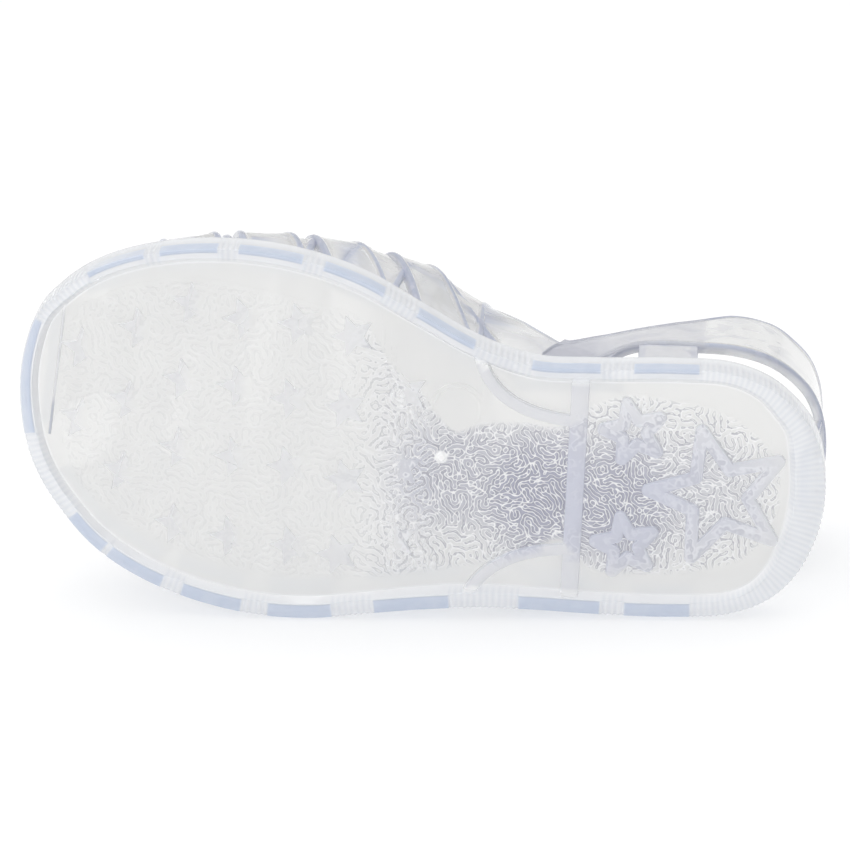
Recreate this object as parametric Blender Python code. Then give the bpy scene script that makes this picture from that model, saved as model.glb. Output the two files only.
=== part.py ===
# Clear moulded beach sandal for the right foot, toddler size, resting on its outer side.
# The shoe is modelled with +X to the toe, +Y to the inner side of the foot and +Z up, in millimetres,
# and is then turned as a whole into its resting pose.
import math

import bpy
import bmesh
import numpy as np
from mathutils import Matrix, Vector

MM = 0.001

# Sole sizes
SOLE_HEIGHT = 8.0
RIM_WIDTH = 2.9
RIM_DRAFT = 0.35
EDGE_ROUND = 0.45
LIP_WIDTH = 1.6
LIP_HEIGHT = 1.2
LIP_DRAFT = 0.15
TREAD_RECESS = 1.5
ARCH_RISE = 1.1
ARCH_BACK = -24.0
ARCH_FRONT = 14.0
TOE_SPRING = 5.0
SPRING_START = 12.0
STATIONS = 49

# Upper sizes
JOINT_GAP = 0.3
STRAP_INSET = 4.1
STRAP_PANEL = 0.75
STRAP_BEAD = 1.3
BEAD_WIDTH = 2.0
BASE_WIDTH = 11.8
RIDGE_WIDTH = 9.0
WIDTH_POWER = 5
INNER_FOOT_LIFT = 0.15
LAST_POWER = 2.4
STRAP_STEPS = 20
BAND_INSET = 3.4
BAND_LEAN = 0.6
BAND_BULGE = 1.4
BAND_REAR = 2.6
FOOT_TURN = 1.8
BAND_FULL_HEIGHT = 38.0
BAND_STEPS = 48

# Sole outline: distance along the foot, inner edge, outer edge
OUTLINE = [
    (73.0, 4.0, 4.0),
    (72.0, 11.3, -5.9),
    (70.0, 17.3, -11.5),
    (66.0, 22.3, -18.0),
    (60.0, 26.8, -24.9),
    (50.0, 30.4, -31.2),
    (40.0, 31.8, -34.8),
    (30.0, 31.6, -36.8),
    (20.0, 29.8, -37.2),
    (10.0, 26.1, -36.1),
    (0.0, 20.2, -35.1),
    (-10.0, 14.6, -34.6),
    (-20.0, 11.3, -34.8),
    (-30.0, 10.9, -35.4),
    (-45.0, 11.1, -35.8),
    (-55.0, 10.5, -35.2),
    (-62.0, 7.8, -32.6),
    (-67.0, 3.5, -28.0),
    (-70.0, -0.6, -22.4),
    (-71.6, -5.0, -17.0),
    (-72.2, -10.8, -10.8),
]

# Last over the sole: distance along the foot, ridge height, ridge shift inward, inner and outer bulge
LAST = [
    (70.0, 4.0, 0.0, 0.0, 0.0),
    (65.0, 13.0, 0.0, 0.5, 0.0),
    (58.0, 19.5, 0.5, 1.2, 0.2),
    (50.0, 23.5, 1.0, 1.5, 0.5),
    (40.0, 26.5, 2.0, 1.5, 1.0),
    (30.0, 29.5, 3.0, 1.7, 1.5),
    (20.0, 33.5, 4.0, 1.5, 2.0),
    (10.0, 38.0, 5.0, 1.6, 2.5),
    (0.0, 42.5, 5.5, 2.5, 2.5),
    (-10.0, 46.0, 4.5, 1.1, 2.0),
    (-20.0, 49.0, 4.0, 0.7, 1.5),
    (-30.0, 52.0, 4.0, 0.0, 1.0),
]

# Straps that start at the inner side: inner foot, outer foot, early lean, late lean, depth under the top
# layer, extra width
OVER_STRAPS = [
    ("over_1", 42.3, 62.5, -0.4, 0.0, 0.0, 0.0),
    ("over_2", 27.5, 53.5, -0.3, 0.0, 0.0, 0.0),
    ("over_3", 12.2, 39.3, 0.3, 0.0, 0.0, 0.0),
    ("over_4", -3.4, 22.8, 0.6, 0.0, 0.0, 0.0),
    ("over_5", -23.9, 2.3, 3.1, 0.6, 1.1, 3.0),
]

# Straps that start at the outer side: outer foot, inner foot, early lean, late lean, depth under the top
# layer, extra width
UNDER_STRAPS = [
    ("under_1", 53.5, 55.7, -0.4, 0.0, 0.65, 0.0),
    ("under_2", 39.3, 42.3, -0.4, -0.6, 0.65, 0.0),
    ("under_3", 22.8, 27.5, -0.4, -1.2, 0.65, 0.0),
    ("under_4", 2.3, 12.2, -0.3, -1.2, 0.65, 0.0),
    ("under_5", -23.5, -3.9, 2.3, 0.6, 1.1, 0.0),
]

# Toe strap: middle of its foot across the toe, end on the ridge, widths at foot and at the crossing
TOE_FOOT = 6.3
TOE_END = (49.0, 1.2)
TOE_WIDTHS = (21.0, 12.0)
TOE_STEPS = 14

# Quarter and heel band: distance along the foot, lower edge, upper edge above the sole top
BAND = [
    (-19.8, 0.4, 6.6),
    (-22.4, 0.4, 12.0),
    (-27.0, 1.6, 15.0),
    (-31.6, 6.0, 18.0),
    (-36.6, 11.4, 21.5),
    (-43.0, 12.4, 26.0),
    (-49.0, 12.0, 31.0),
    (-54.0, 12.0, 35.0),
    (-60.0, 13.2, 37.5),
    (-66.0, 15.4, 38.5),
    (-75.0, 16.5, 39.0),
]

# Feet of the quarter: distance along the foot at the sole and at the band, height, width
QUARTER_FEET = [
    ("front_foot", -25.4, -29.2, 12.6, 12.0),
    ("rear_foot", -43.0, -43.0, 17.0, 10.8),
]
STAY_WIDTH = 11.0
STAY_HEIGHT = 18.2
STAY_INSET = 0.35
FOOT_STEPS = 6

# Tread ribs and stars
BAR = ((-27.8, 9.2), (-25.9, -33.6))
BAR_WIDTH = 3.2
INNER_RIB = ((-9.8, 13.0), (-11.8, 2.4), (-27.0, 1.0))
OUTER_RIB = ((-7.4, -32.4), (-12.4, -23.0), (-26.6, -23.2))
RIB_WIDTH = 2.1
RIB_STEPS = 8
RIB_LEVEL = 0.12
LUG_ROOT = 0.6
STAR_RADIUS = 4.7
STAR_WAIST = 0.48
STAR_SHOULDER = 0.45
STAR_RISE = 1.15
HEEL_STAR_LEVEL = 0.25

# Small stars under the forefoot: distance along the foot, across the foot, turn in degrees
SMALL_STARS = [
    (61.5, 11.8, 12.0),
    (51.0, 16.2, 6.0),
    (41.3, 21.1, 11.0),
    (32.2, 18.7, -3.0),
    (22.4, 18.0, 2.0),
    (12.9, 15.9, -1.0),
    (62.2, -1.6, 20.0),
    (53.1, 2.4, 15.0),
    (43.2, 6.9, 8.0),
    (33.2, 6.0, 3.0),
    (23.9, 4.0, 0.0),
    (14.3, 2.5, 6.0),
    (3.6, 5.3, 4.0),
    (54.6, -11.1, 18.0),
    (44.1, -6.1, 10.0),
    (34.2, -7.4, 4.0),
    (24.6, -8.8, 2.0),
    (14.4, -11.0, 3.0),
    (4.5, -8.8, 12.0),
    (45.1, -20.5, 8.0),
    (35.1, -22.5, 2.0),
    (24.3, -23.9, 3.0),
    (15.9, -25.3, 1.0),
    (5.4, -22.4, 9.0),
]

# Heel stars: distance along the foot, across the foot, outer radius, rib width, turn in degrees
HEEL_STARS = [
    ("large_star", -52.5, -12.6, 13.8, 2.4, 4.0),
    ("inner_star", -37.3, -0.9, 6.5, 1.9, 5.0),
    ("outer_star", -36.0, -22.3, 6.5, 1.9, 8.0),
]


def smooth(table, column, at):
    """Read one column of a table at a distance along the foot, with a smooth curve through its rows."""
    rows = sorted(table)
    xs = np.array([row[0] for row in rows])
    ys = np.array([row[column] for row in rows])
    slopes = np.gradient(ys, xs)
    at = np.clip(np.asarray(at, float), xs[0], xs[-1])
    k = np.clip(np.searchsorted(xs, at) - 1, 0, len(xs) - 2)
    step = xs[k + 1] - xs[k]
    t = (at - xs[k]) / step
    rise = ys[k] * (2 * t ** 3 - 3 * t ** 2 + 1) + ys[k + 1] * (3 * t ** 2 - 2 * t ** 3)
    return rise + step * (slopes[k] * (t ** 3 - 2 * t ** 2 + t) + slopes[k + 1] * (t ** 3 - t ** 2))


def spring(x):
    """Height of the tread line over the floor plane of the sole."""
    reach = np.clip((np.asarray(x, float) - SPRING_START) / (OUTLINE[0][0] - SPRING_START), 0.0, None)
    return TOE_SPRING * reach ** 2


def tread_floor(x):
    """Height of the recessed tread panel, with the arch at the waist."""
    x = np.asarray(x, float)
    reach = np.clip((x - ARCH_BACK) / (ARCH_FRONT - ARCH_BACK), 0.0, 1.0)
    return spring(x) + TREAD_RECESS + ARCH_RISE * np.sin(np.pi * reach) ** 2


def foot_level(x):
    """Height at which the strap feet stand, a joint gap above the foot bed."""
    return spring(x) + SOLE_HEIGHT - LIP_HEIGHT + JOINT_GAP


def outline_loop():
    """Closed outline of the sole: toe tip, inner side, heel tip, outer side."""
    toe = OUTLINE[0][0]
    heel = OUTLINE[-1][0]
    middle = (toe + heel) / 2
    half = (toe - heel) / 2
    turned = [(-math.acos((row[0] - middle) / half), row[1], row[2]) for row in OUTLINE]
    turns = -np.linspace(0.0, math.pi, STATIONS)
    along = middle + half * np.cos(turns)
    inner = np.stack([along, smooth(turned, 1, turns)], 1)
    outer = np.stack([along, smooth(turned, 2, turns)], 1)
    return np.concatenate([inner, outer[-2:0:-1]])


def outward(loop):
    """Outward unit normals of a closed plan curve that runs from toe along the inner side."""
    run = np.roll(loop, -1, 0) - np.roll(loop, 1, 0)
    normals = np.stack([run[:, 1], -run[:, 0]], 1)
    return normals / np.linalg.norm(normals, axis=1)[:, None]


SOLE_LOOP = outline_loop()
SOLE_OUT = outward(SOLE_LOOP)


def inset_loop(inset):
    """The sole outline moved inward."""
    return SOLE_LOOP - SOLE_OUT * inset


def new_mesh(name, points, faces, collection, material):
    """Make one closed object from points in millimetres and its faces."""
    mesh = bpy.data.meshes.new(name)
    mesh.from_pydata([tuple(float(v) * MM for v in p) for p in points], [], faces)
    mesh.materials.append(material)
    obj = bpy.data.objects.new(name, mesh)
    collection.objects.link(obj)
    edit = bmesh.new()
    edit.from_mesh(mesh)
    bmesh.ops.recalc_face_normals(edit, faces=edit.faces)
    if edit.calc_volume(signed=True) < 0:
        bmesh.ops.reverse_faces(edit, faces=edit.faces)
    edit.to_mesh(mesh)
    edit.free()
    return obj


def ladder(start, count):
    """Faces that close a loop of the sole, rung by rung from toe to heel."""
    half = count // 2
    faces = [(start, start + 1, start + count - 1)]
    for i in range(1, half - 1):
        faces.append((start + i, start + i + 1, start + count - i - 1, start + count - i))
    faces.append((start + half - 1, start + half, start + half + 1))
    return faces


def ring_faces(first, second, count):
    """Quads between two rings of points."""
    return [(first + i, first + (i + 1) % count, second + (i + 1) % count, second + i)
            for i in range(count)]


def build_sole(collection, material):
    """Sole plate with rim, wall, lip and recessed panel."""
    top = SOLE_HEIGHT
    bed = SOLE_HEIGHT - LIP_HEIGHT
    rings = [
        (RIM_WIDTH + RIM_DRAFT, None),
        (RIM_WIDTH, 0.0),
        (EDGE_ROUND, 0.0),
        (0.0, EDGE_ROUND),
        (0.0, top - EDGE_ROUND),
        (EDGE_ROUND, top),
        (LIP_WIDTH, top),
        (LIP_WIDTH + LIP_DRAFT, bed),
    ]
    points = []
    for inset, level in rings:
        loop = inset_loop(inset)
        heights = tread_floor(loop[:, 0]) if level is None else spring(loop[:, 0]) + level
        points.extend(np.column_stack([loop, heights]))
    count = len(SOLE_LOOP)
    faces = ladder(0, count)
    for k in range(len(rings) - 1):
        faces.extend(ring_faces(k * count, (k + 1) * count, count))
    faces.extend(ladder((len(rings) - 1) * count, count))
    return new_mesh("outsole", points, faces, collection, material)


def star_ring(x, y, radius, waist, turn):
    """Ten points of a star in plan."""
    ring = []
    for k in range(10):
        angle = math.radians(turn + 36.0 * k)
        reach = radius if k % 2 == 0 else radius * waist
        ring.append((x + reach * math.cos(angle), y + reach * math.sin(angle)))
    return np.array(ring)


def small_star(x, y, turn):
    """Points and faces of one small star, a low pyramid with a shoulder."""
    ring = star_ring(x, y, STAR_RADIUS, STAR_WAIST, turn)
    floor = tread_floor(ring[:, 0])
    root = np.column_stack([ring, floor + LUG_ROOT])
    shoulder = np.column_stack([ring, floor - STAR_SHOULDER])
    tip = (x, y, float(tread_floor(x)) - STAR_RISE)
    points = [*root, *shoulder, tip]
    faces = [tuple(range(10))]
    faces.extend(ring_faces(0, 10, 10))
    faces.extend([(10 + k, 10 + (k + 1) % 10, 20) for k in range(10)])
    return points, faces


def star_outline(x, y, radius, rib, turn):
    """Points and faces of a flat star outline with an open middle."""
    outer = star_ring(x, y, radius, STAR_WAIST, turn)
    scale = 1.0 - rib / (radius * STAR_WAIST)
    inner = star_ring(x, y, radius * scale, STAR_WAIST, turn)
    points = []
    for ring, lowered in ((outer, False), (outer, True), (inner, True), (inner, False)):
        heights = np.full(10, HEEL_STAR_LEVEL) if lowered else tread_floor(ring[:, 0]) + LUG_ROOT
        points.extend(np.column_stack([ring, heights]))
    faces = []
    for a, b in ((0, 10), (10, 20), (20, 30), (30, 0)):
        faces.extend(ring_faces(a, b, 10))
    return points, faces


def ribbon(path, width):
    """Points and faces of a flat rib along a plan path."""
    path = np.array(path, float)
    run = np.gradient(path, axis=0)
    side = np.stack([-run[:, 1], run[:, 0]], 1)
    side = side / np.linalg.norm(side, axis=1)[:, None] * width / 2
    points = []
    for spot, reach in zip(path, side):
        root = float(tread_floor(spot[0])) + LUG_ROOT
        for offset, height in ((reach, root), (-reach, root), (-reach, RIB_LEVEL), (reach, RIB_LEVEL)):
            points.append((*(spot + offset), height))
    last = (len(path) - 1) * 4
    faces = [(0, 1, 2, 3), (last, last + 1, last + 2, last + 3)]
    for k in range(len(path) - 1):
        faces.extend(ring_faces(k * 4, k * 4 + 4, 4))
    return points, faces


def bend(start, middle, end):
    """Plan path of a curved rib."""
    ts = np.linspace(0.0, 1.0, RIB_STEPS)[:, None]
    return (1 - ts) ** 2 * np.array(start) + 2 * ts * (1 - ts) * np.array(middle) + ts ** 2 * np.array(end)


def add_union(target, tool):
    """Join a tool solid to a target solid with a Boolean."""
    tool.display_type = "WIRE"
    tool.hide_render = True
    modifier = target.modifiers.new("join_" + tool.name, "BOOLEAN")
    modifier.operation = "UNION"
    modifier.solver = "EXACT"
    modifier.object = tool


def build_tread(sole, tools, material):
    """Stars and ribs under the sole."""
    points = []
    faces = []
    for x, y, turn in SMALL_STARS:
        more, cells = small_star(x, y, turn)
        faces.extend([tuple(i + len(points) for i in cell) for cell in cells])
        points.extend(more)
    for _, x, y, radius, rib, turn in HEEL_STARS:
        more, cells = star_outline(x, y, radius, rib, turn)
        faces.extend([tuple(i + len(points) for i in cell) for cell in cells])
        points.extend(more)
    add_union(sole, new_mesh("star_tools", points, faces, tools, material))
    bar_path = np.linspace(BAR[0], BAR[1], RIB_STEPS)
    for name, path, width in (("inner_rib_tool", bend(*INNER_RIB), RIB_WIDTH),
                              ("outer_rib_tool", bend(*OUTER_RIB), RIB_WIDTH),
                              ("bar_tool", bar_path, BAR_WIDTH)):
        add_union(sole, new_mesh(name, *ribbon(path, width), tools, material))


FOOT_LOOP = inset_loop(STRAP_INSET)
INNER_EDGE = FOOT_LOOP[:STATIONS][::-1]
OUTER_EDGE = np.concatenate([FOOT_LOOP[STATIONS - 1:], FOOT_LOOP[:1]])


def last_point(x, turn, sink):
    """Point of the last at a distance along the foot; turn runs from the inner foot over the ridge."""
    inner = np.interp(x, INNER_EDGE[:, 0], INNER_EDGE[:, 1])
    outer = np.interp(x, OUTER_EDGE[:, 0], OUTER_EDGE[:, 1])
    ridge, shift, inner_bulge, outer_bulge = [float(smooth(LAST, c, x)) for c in (1, 2, 3, 4)]
    across = math.cos(turn)
    up = max(math.sin(turn), 0.0) ** (2 / LAST_POWER)
    across = math.copysign(abs(across) ** (2 / LAST_POWER), across)
    bulge = inner_bulge if turn < math.pi / 2 else outer_bulge
    y = (inner + outer) / 2 + ((inner - outer) / 2 - sink) * across
    y += shift * up + bulge * math.sin(2 * turn)
    return np.array([x, y, float(foot_level(x)) + (ridge - sink) * up])


def last_normal(x, turn, sink):
    """Outward normal of the last."""
    step = 0.02
    low = max(turn - step, 0.0)
    high = min(turn + step, math.pi)
    around = last_point(x, high, sink) - last_point(x, low, sink)
    along = last_point(x + step, turn, sink) - last_point(x - step, turn, sink)
    normal = np.cross(around, along)
    normal = normal / np.linalg.norm(normal)
    return normal


def strap_profile(half_width):
    """Section of a strap: flat inside, a raised bead along both edges outside."""
    edge = half_width
    return [
        (-edge, -STRAP_PANEL),
        (-edge, STRAP_BEAD * 0.6),
        (-edge + BEAD_WIDTH * 0.3, STRAP_BEAD),
        (-edge + BEAD_WIDTH * 0.7, STRAP_BEAD),
        (-edge + BEAD_WIDTH, STRAP_PANEL),
        (edge - BEAD_WIDTH, STRAP_PANEL),
        (edge - BEAD_WIDTH * 0.7, STRAP_BEAD),
        (edge - BEAD_WIDTH * 0.3, STRAP_BEAD),
        (edge, STRAP_BEAD * 0.6),
        (edge, -STRAP_PANEL),
    ]


def close_sweep(rings):
    """Points and faces of a solid swept through rings of equal count."""
    count = len(rings[0])
    points = [p for ring in rings for p in ring]
    last = (len(rings) - 1) * count
    faces = [tuple(range(count)), tuple(range(last, last + count))]
    for k in range(len(rings) - 1):
        faces.extend(ring_faces(k * count, (k + 1) * count, count))
    return points, faces


def sweep_strap(spots, normals, widths, lift, plant_start, plant_end):
    """Rings of a strap along spots; planted ends are cut level with the foot bed."""
    run = np.gradient(spots, axis=0)
    run = run / np.linalg.norm(run, axis=1)[:, None]
    rings = []
    for k, spot in enumerate(spots):
        side = np.cross(normals[k], run[k])
        side = side / np.linalg.norm(side)
        out = np.cross(run[k], side)
        ring = [spot + side * a + out * n for a, n in strap_profile(widths[k] / 2)]
        if (k == 0 and plant_start) or (k == len(spots) - 1 and plant_end):
            ring = [p + run[k] * (float(foot_level(p[0])) + lift - p[2]) / run[k][2] for p in ring]
        rings.append(ring)
    return rings


def lean_share(share, early, late):
    """How far a strap has run along the foot at a share of its way over the ridge."""
    return share + early * share * (1 - share) ** 2 + late * share ** 2 * (1 - share)


def crossing_strap(start_foot, end_foot, early, late, sink, extra, lift, from_inner):
    """Rings of one strap from one foot over the ridge to the other."""
    shares = np.linspace(0.0, 1.0, STRAP_STEPS)
    turns = shares * math.pi if from_inner else (1 - shares) * math.pi
    along = start_foot + (end_foot - start_foot) * lean_share(shares, early, late)
    spots = np.array([last_point(x, t, sink) for x, t in zip(along, turns)])
    normals = np.array([last_normal(x, t, sink) for x, t in zip(along, turns)])
    widths = RIDGE_WIDTH + (BASE_WIDTH - RIDGE_WIDTH) * np.abs(np.cos(turns)) ** WIDTH_POWER
    return sweep_strap(spots, normals, widths + extra, lift, True, True)


def toe_edge(y):
    """How far the line of the strap feet reaches toward the toe at a place across the foot."""
    front = FOOT_LOOP[FOOT_LOOP[:, 0] > TOE_END[0]]
    front = front[np.argsort(front[:, 1])]
    return np.interp(y, front[:, 1], front[:, 0])


def toe_strap():
    """Rings of the wide strap that closes the toe, its foot bent to the line of the strap feet."""
    turns = np.linspace(0.0, math.pi / 2, TOE_STEPS)
    tip = float(toe_edge(TOE_FOOT))
    base = float(foot_level(tip))
    top = last_point(TOE_END[0], math.pi / 2, 0.0)[2]
    x = TOE_END[0] + (tip - TOE_END[0]) * np.cos(turns) ** (2 / LAST_POWER)
    y = TOE_END[1] + (TOE_FOOT - TOE_END[1]) * np.cos(turns)
    z = base + (top - base) * np.sin(turns) ** (2 / LAST_POWER)
    spots = np.column_stack([x, y, z])
    run = np.gradient(spots, axis=0)
    normals = np.column_stack([run[:, 2], np.zeros(TOE_STEPS), -run[:, 0]])
    widths = TOE_WIDTHS[1] + (TOE_WIDTHS[0] - TOE_WIDTHS[1]) * np.cos(turns)
    rings = sweep_strap(spots, normals, widths, 2 * INNER_FOOT_LIFT, True, False)
    bent = []
    for turn, ring in zip(turns, rings):
        bent.append([p + np.array([(toe_edge(p[1]) - tip) * math.cos(turn), 0.0, 0.0]) for p in ring])
    return bent


BAND_LOOP = inset_loop(BAND_INSET)


def band_path():
    """Plan path of the heel band with outward normals, from inner front round the heel to outer front."""
    keep = BAND_LOOP[:, 0] <= BAND[0][0]
    path = BAND_LOOP[keep]
    normals = SOLE_OUT[keep]
    steps = np.concatenate([[0.0], np.cumsum(np.linalg.norm(np.diff(path, axis=0), axis=1))])
    shares = np.linspace(0.0, steps[-1], BAND_STEPS)
    even = np.stack([np.interp(shares, steps, path[:, c]) for c in (0, 1)], 1)
    out = np.stack([np.interp(shares, steps, normals[:, c]) for c in (0, 1)], 1)
    return even, out / np.linalg.norm(out, axis=1)[:, None]


def band_lean(height, normal):
    """How far the heel band leans inward at a height over its foot; at the back of the heel it leans out."""
    share = height / BAND_FULL_HEIGHT
    rear = BAND_REAR * max(-float(normal[0]), 0.0)
    return BAND_LEAN * share ** 2 - BAND_BULGE * math.sin(math.pi * min(share, 1.0)) - rear * share


def heel_band():
    """Rings of the quarter and heel band."""
    path, out = band_path()
    rings = []
    for spot, normal in zip(path, out):
        low = float(smooth(BAND, 1, spot[0]))
        high = float(smooth(BAND, 2, spot[0]))
        ring = []
        for a, n in strap_profile((high - low) / 2):
            height = (low + high) / 2 + a
            reach = n - band_lean(height, normal)
            ring.append((*(spot + normal * reach), float(foot_level(spot[0])) + height))
        rings.append(ring)
    return rings


def wall_foot(start, end, out_start, out_end, height, width):
    """Rings of an upright foot that joins the band to the sole."""
    shares = np.linspace(0.0, 1.0, FOOT_STEPS)
    spots = []
    normals = []
    for share in shares:
        plan = np.array(start) + (np.array(end) - np.array(start)) * share ** FOOT_TURN
        normal = np.array(out_start) + (np.array(out_end) - np.array(out_start)) * share
        normal = normal / np.linalg.norm(normal)
        plan = plan - normal * (band_lean(height * share, normal) + INNER_FOOT_LIFT)
        spots.append((*plan, float(foot_level(plan[0])) + height * share))
        normals.append((*normal, 0.0))
    return sweep_strap(np.array(spots), np.array(normals), np.full(FOOT_STEPS, width), 0.0, True, False)


def band_spot(x, inner_side):
    """Plan point and outward normal of the band at a distance along the foot."""
    rows = slice(0, STATIONS) if inner_side else slice(STATIONS - 1, len(BAND_LOOP))
    loop = BAND_LOOP[rows]
    out = SOLE_OUT[rows]
    order = np.argsort(loop[:, 0])
    xs = loop[order, 0]
    spot = (x, float(np.interp(x, xs, loop[order, 1])))
    normal = [float(np.interp(x, xs, out[order, c])) for c in (0, 1)]
    return spot, normal


def build_upper(collection, tools, material):
    """The strap cage, joined strap by strap into one solid."""
    upper = new_mesh("upper", *close_sweep(heel_band()), collection, material)
    for side_name, inner_side in (("inner", True), ("outer", False)):
        for name, low_x, high_x, height, width in QUARTER_FEET:
            start, out_start = band_spot(low_x, inner_side)
            end, out_end = band_spot(high_x, inner_side)
            rings = wall_foot(start, end, out_start, out_end, height, width)
            add_union(upper, new_mesh(f"{side_name}_{name}_tool", *close_sweep(rings), tools, material))
    heel = BAND_LOOP[STATIONS - 1] + (STAY_INSET, 0.0)
    rings = wall_foot(heel, heel, (-1.0, 0.0), (-1.0, 0.0), STAY_HEIGHT, STAY_WIDTH)
    add_union(upper, new_mesh("stay_tool", *close_sweep(rings), tools, material))
    for table, from_inner, lift in ((OVER_STRAPS, True, INNER_FOOT_LIFT),
                                    (UNDER_STRAPS, False, 2 * INNER_FOOT_LIFT)):
        for name, *row in table:
            rings = crossing_strap(*row, lift, from_inner)
            add_union(upper, new_mesh(name + "_tool", *close_sweep(rings), tools, material))
    add_union(upper, new_mesh("toe_strap_tool", *close_sweep(toe_strap()), tools, material))
    return upper


def clear_plastic(name, tint):
    """Clear moulded plastic with a faint tint."""
    material = bpy.data.materials.new(name)
    material.use_nodes = True
    shader = material.node_tree.nodes["Principled BSDF"]
    shader.inputs["Base Color"].default_value = (*tint, 1.0)
    shader.inputs["Roughness"].default_value = 0.08
    shader.inputs["IOR"].default_value = 1.53
    shader.inputs["Transmission Weight"].default_value = 0.9
    return material


def solid_data(obj):
    """Points, volume and centre of a finished part."""
    graph = bpy.context.evaluated_depsgraph_get()
    shaped = obj.evaluated_get(graph)
    mesh = shaped.to_mesh()
    mesh.calc_loop_triangles()
    points = np.array([v.co[:] for v in mesh.vertices])
    corners = np.array([t.vertices[:] for t in mesh.loop_triangles])
    a, b, c = points[corners[:, 0]], points[corners[:, 1]], points[corners[:, 2]]
    parts = np.einsum("ij,ij->i", a, np.cross(b, c)) / 6
    centre = ((a + b + c) / 4 * parts[:, None]).sum(0) / parts.sum()
    shaped.to_mesh_clear()
    return points, parts.sum(), centre


def resting_turn(parts):
    """Rotation that lays the shoe on its outer side, on the hull face under its centre of mass."""
    data = [solid_data(part) for part in parts]
    total = sum(d[1] for d in data)
    centre = Vector(sum(d[1] * d[2] for d in data) / total)
    hull = bmesh.new()
    for points, _, _ in data:
        for p in points:
            hull.verts.new(p)
    result = bmesh.ops.convex_hull(hull, input=hull.verts)
    best = None
    for item in result["geom"]:
        if not isinstance(item, bmesh.types.BMFace):
            continue
        item.normal_update()
        normal = item.normal.copy()
        corners = [v.co.copy() for v in item.verts]
        if normal.dot(corners[0] - centre) < 0:
            normal.negate()
            corners.reverse()
        if normal.y > -0.6:
            continue
        foot = centre + normal * normal.dot(corners[0] - centre)
        inside = all((corners[(k + 1) % len(corners)] - corners[k]).cross(foot - corners[k]).dot(normal) > 0
                     for k in range(len(corners)))
        if inside:
            best = normal
    hull.free()
    down = best.normalized()
    toe = Vector((1.0, 0.0, 0.0))
    toe = (toe - down * toe.dot(down)).normalized()
    back = down.cross(toe)
    return Matrix((-toe, back, -down)).to_4x4()


def main():
    for obj in list(bpy.data.objects):
        bpy.data.objects.remove(obj, do_unlink=True)
    scene = bpy.context.scene
    parts = bpy.data.collections.new("beach_sandal")
    tools = bpy.data.collections.new("sandal_tools")
    scene.collection.children.link(parts)
    scene.collection.children.link(tools)
    sole_plastic = clear_plastic("sole_plastic", (0.93, 0.94, 0.97))
    strap_plastic = clear_plastic("strap_plastic", (0.92, 0.94, 0.98))
    sole = build_sole(parts, sole_plastic)
    build_tread(sole, tools, sole_plastic)
    upper = build_upper(parts, tools, strap_plastic)
    bpy.context.view_layer.update()
    turn = resting_turn([sole, upper])
    points = np.concatenate([solid_data(part)[0] for part in (sole, upper)])
    spread = points @ np.array(turn.to_3x3()).T
    low = spread.min(0)
    high = spread.max(0)
    move = Matrix.Translation((-(low[0] + high[0]) / 2, -(low[1] + high[1]) / 2, -low[2]))
    for obj in [*parts.objects, *tools.objects]:
        obj.matrix_world = move @ turn
    bpy.context.view_layer.update()


main()
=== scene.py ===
# Looks of the clear moulded beach sandal, a right shoe of toddler size lying on its outer side.
# Every shape is worked out in the shoe's own frame, in millimetres, with +X to the toe, +Y to the inner
# side of the foot and +Z up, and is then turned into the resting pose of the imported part.
import math

import bmesh
import bpy
import numpy as np
from mathutils import Matrix, Vector
from mathutils.kdtree import KDTree


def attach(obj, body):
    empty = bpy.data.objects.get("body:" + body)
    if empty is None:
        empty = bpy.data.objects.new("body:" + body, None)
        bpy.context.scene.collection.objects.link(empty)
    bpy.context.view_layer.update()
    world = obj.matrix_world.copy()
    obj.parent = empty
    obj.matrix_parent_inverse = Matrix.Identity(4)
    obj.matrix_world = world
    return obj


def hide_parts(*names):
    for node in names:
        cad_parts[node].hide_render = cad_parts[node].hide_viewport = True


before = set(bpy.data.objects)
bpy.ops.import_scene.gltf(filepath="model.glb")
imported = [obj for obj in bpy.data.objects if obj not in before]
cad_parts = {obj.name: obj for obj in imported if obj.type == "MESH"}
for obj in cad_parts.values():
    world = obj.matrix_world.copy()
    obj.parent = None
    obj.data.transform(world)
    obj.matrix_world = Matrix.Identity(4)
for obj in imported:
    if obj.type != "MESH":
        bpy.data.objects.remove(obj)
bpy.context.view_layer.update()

MM = 0.001
SMOOTH_ANGLE = 40.0
MERGE_GAP = 0.0005

# Resting pose: the floor's upward direction in the shoe's frame, and the move to the row's origin
FLOOR_UP = (0.020872, 0.99864, -0.047784)
REST_MOVE = (0.316, -25.656, 37.073)

# Sole sizes
SOLE_HEIGHT = 8.0
RIM_SIDE = 2.5
RIM_SKEW = 0.5
RIM_BACK = 3.1
RIM_BACK_POWER = 2.6
RIM_DRAFT = 0.8
LIP_WIDTH = 1.6
LIP_HEIGHT = 1.2
LIP_DRAFT = 0.15
TREAD_RECESS = 1.5
ARCH_RISE = 1.1
ARCH_BACK = -24.0
ARCH_FRONT = 14.0
TOE_SPRING = 5.0
SPRING_START = 12.0
SIDE_POINTS = 661
FLUTE_POINTS = 4
FLUTE_DEPTH = 0.15
FLUTE_SINK = 0.07

# Strap sizes
JOINT_GAP = 0.3
STRAP_INSET = 4.1
STRAP_PANEL = 0.75
STRAP_BEAD = 1.05
BASE_WIDTH = 11.8
RIDGE_WIDTH = 9.0
WIDTH_POWER = 5
FOOT_LIFT = 0.15
LAST_POWER = 2.4
STRAP_STEPS = 72
BAND_INSET = 3.4
BAND_LEAN = 0.6
BAND_BULGE = 1.6
BAND_REAR = 2.9
FOOT_TURN = 1.8
BAND_FULL_HEIGHT = 38.0
BAND_STEPS = 180

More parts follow.
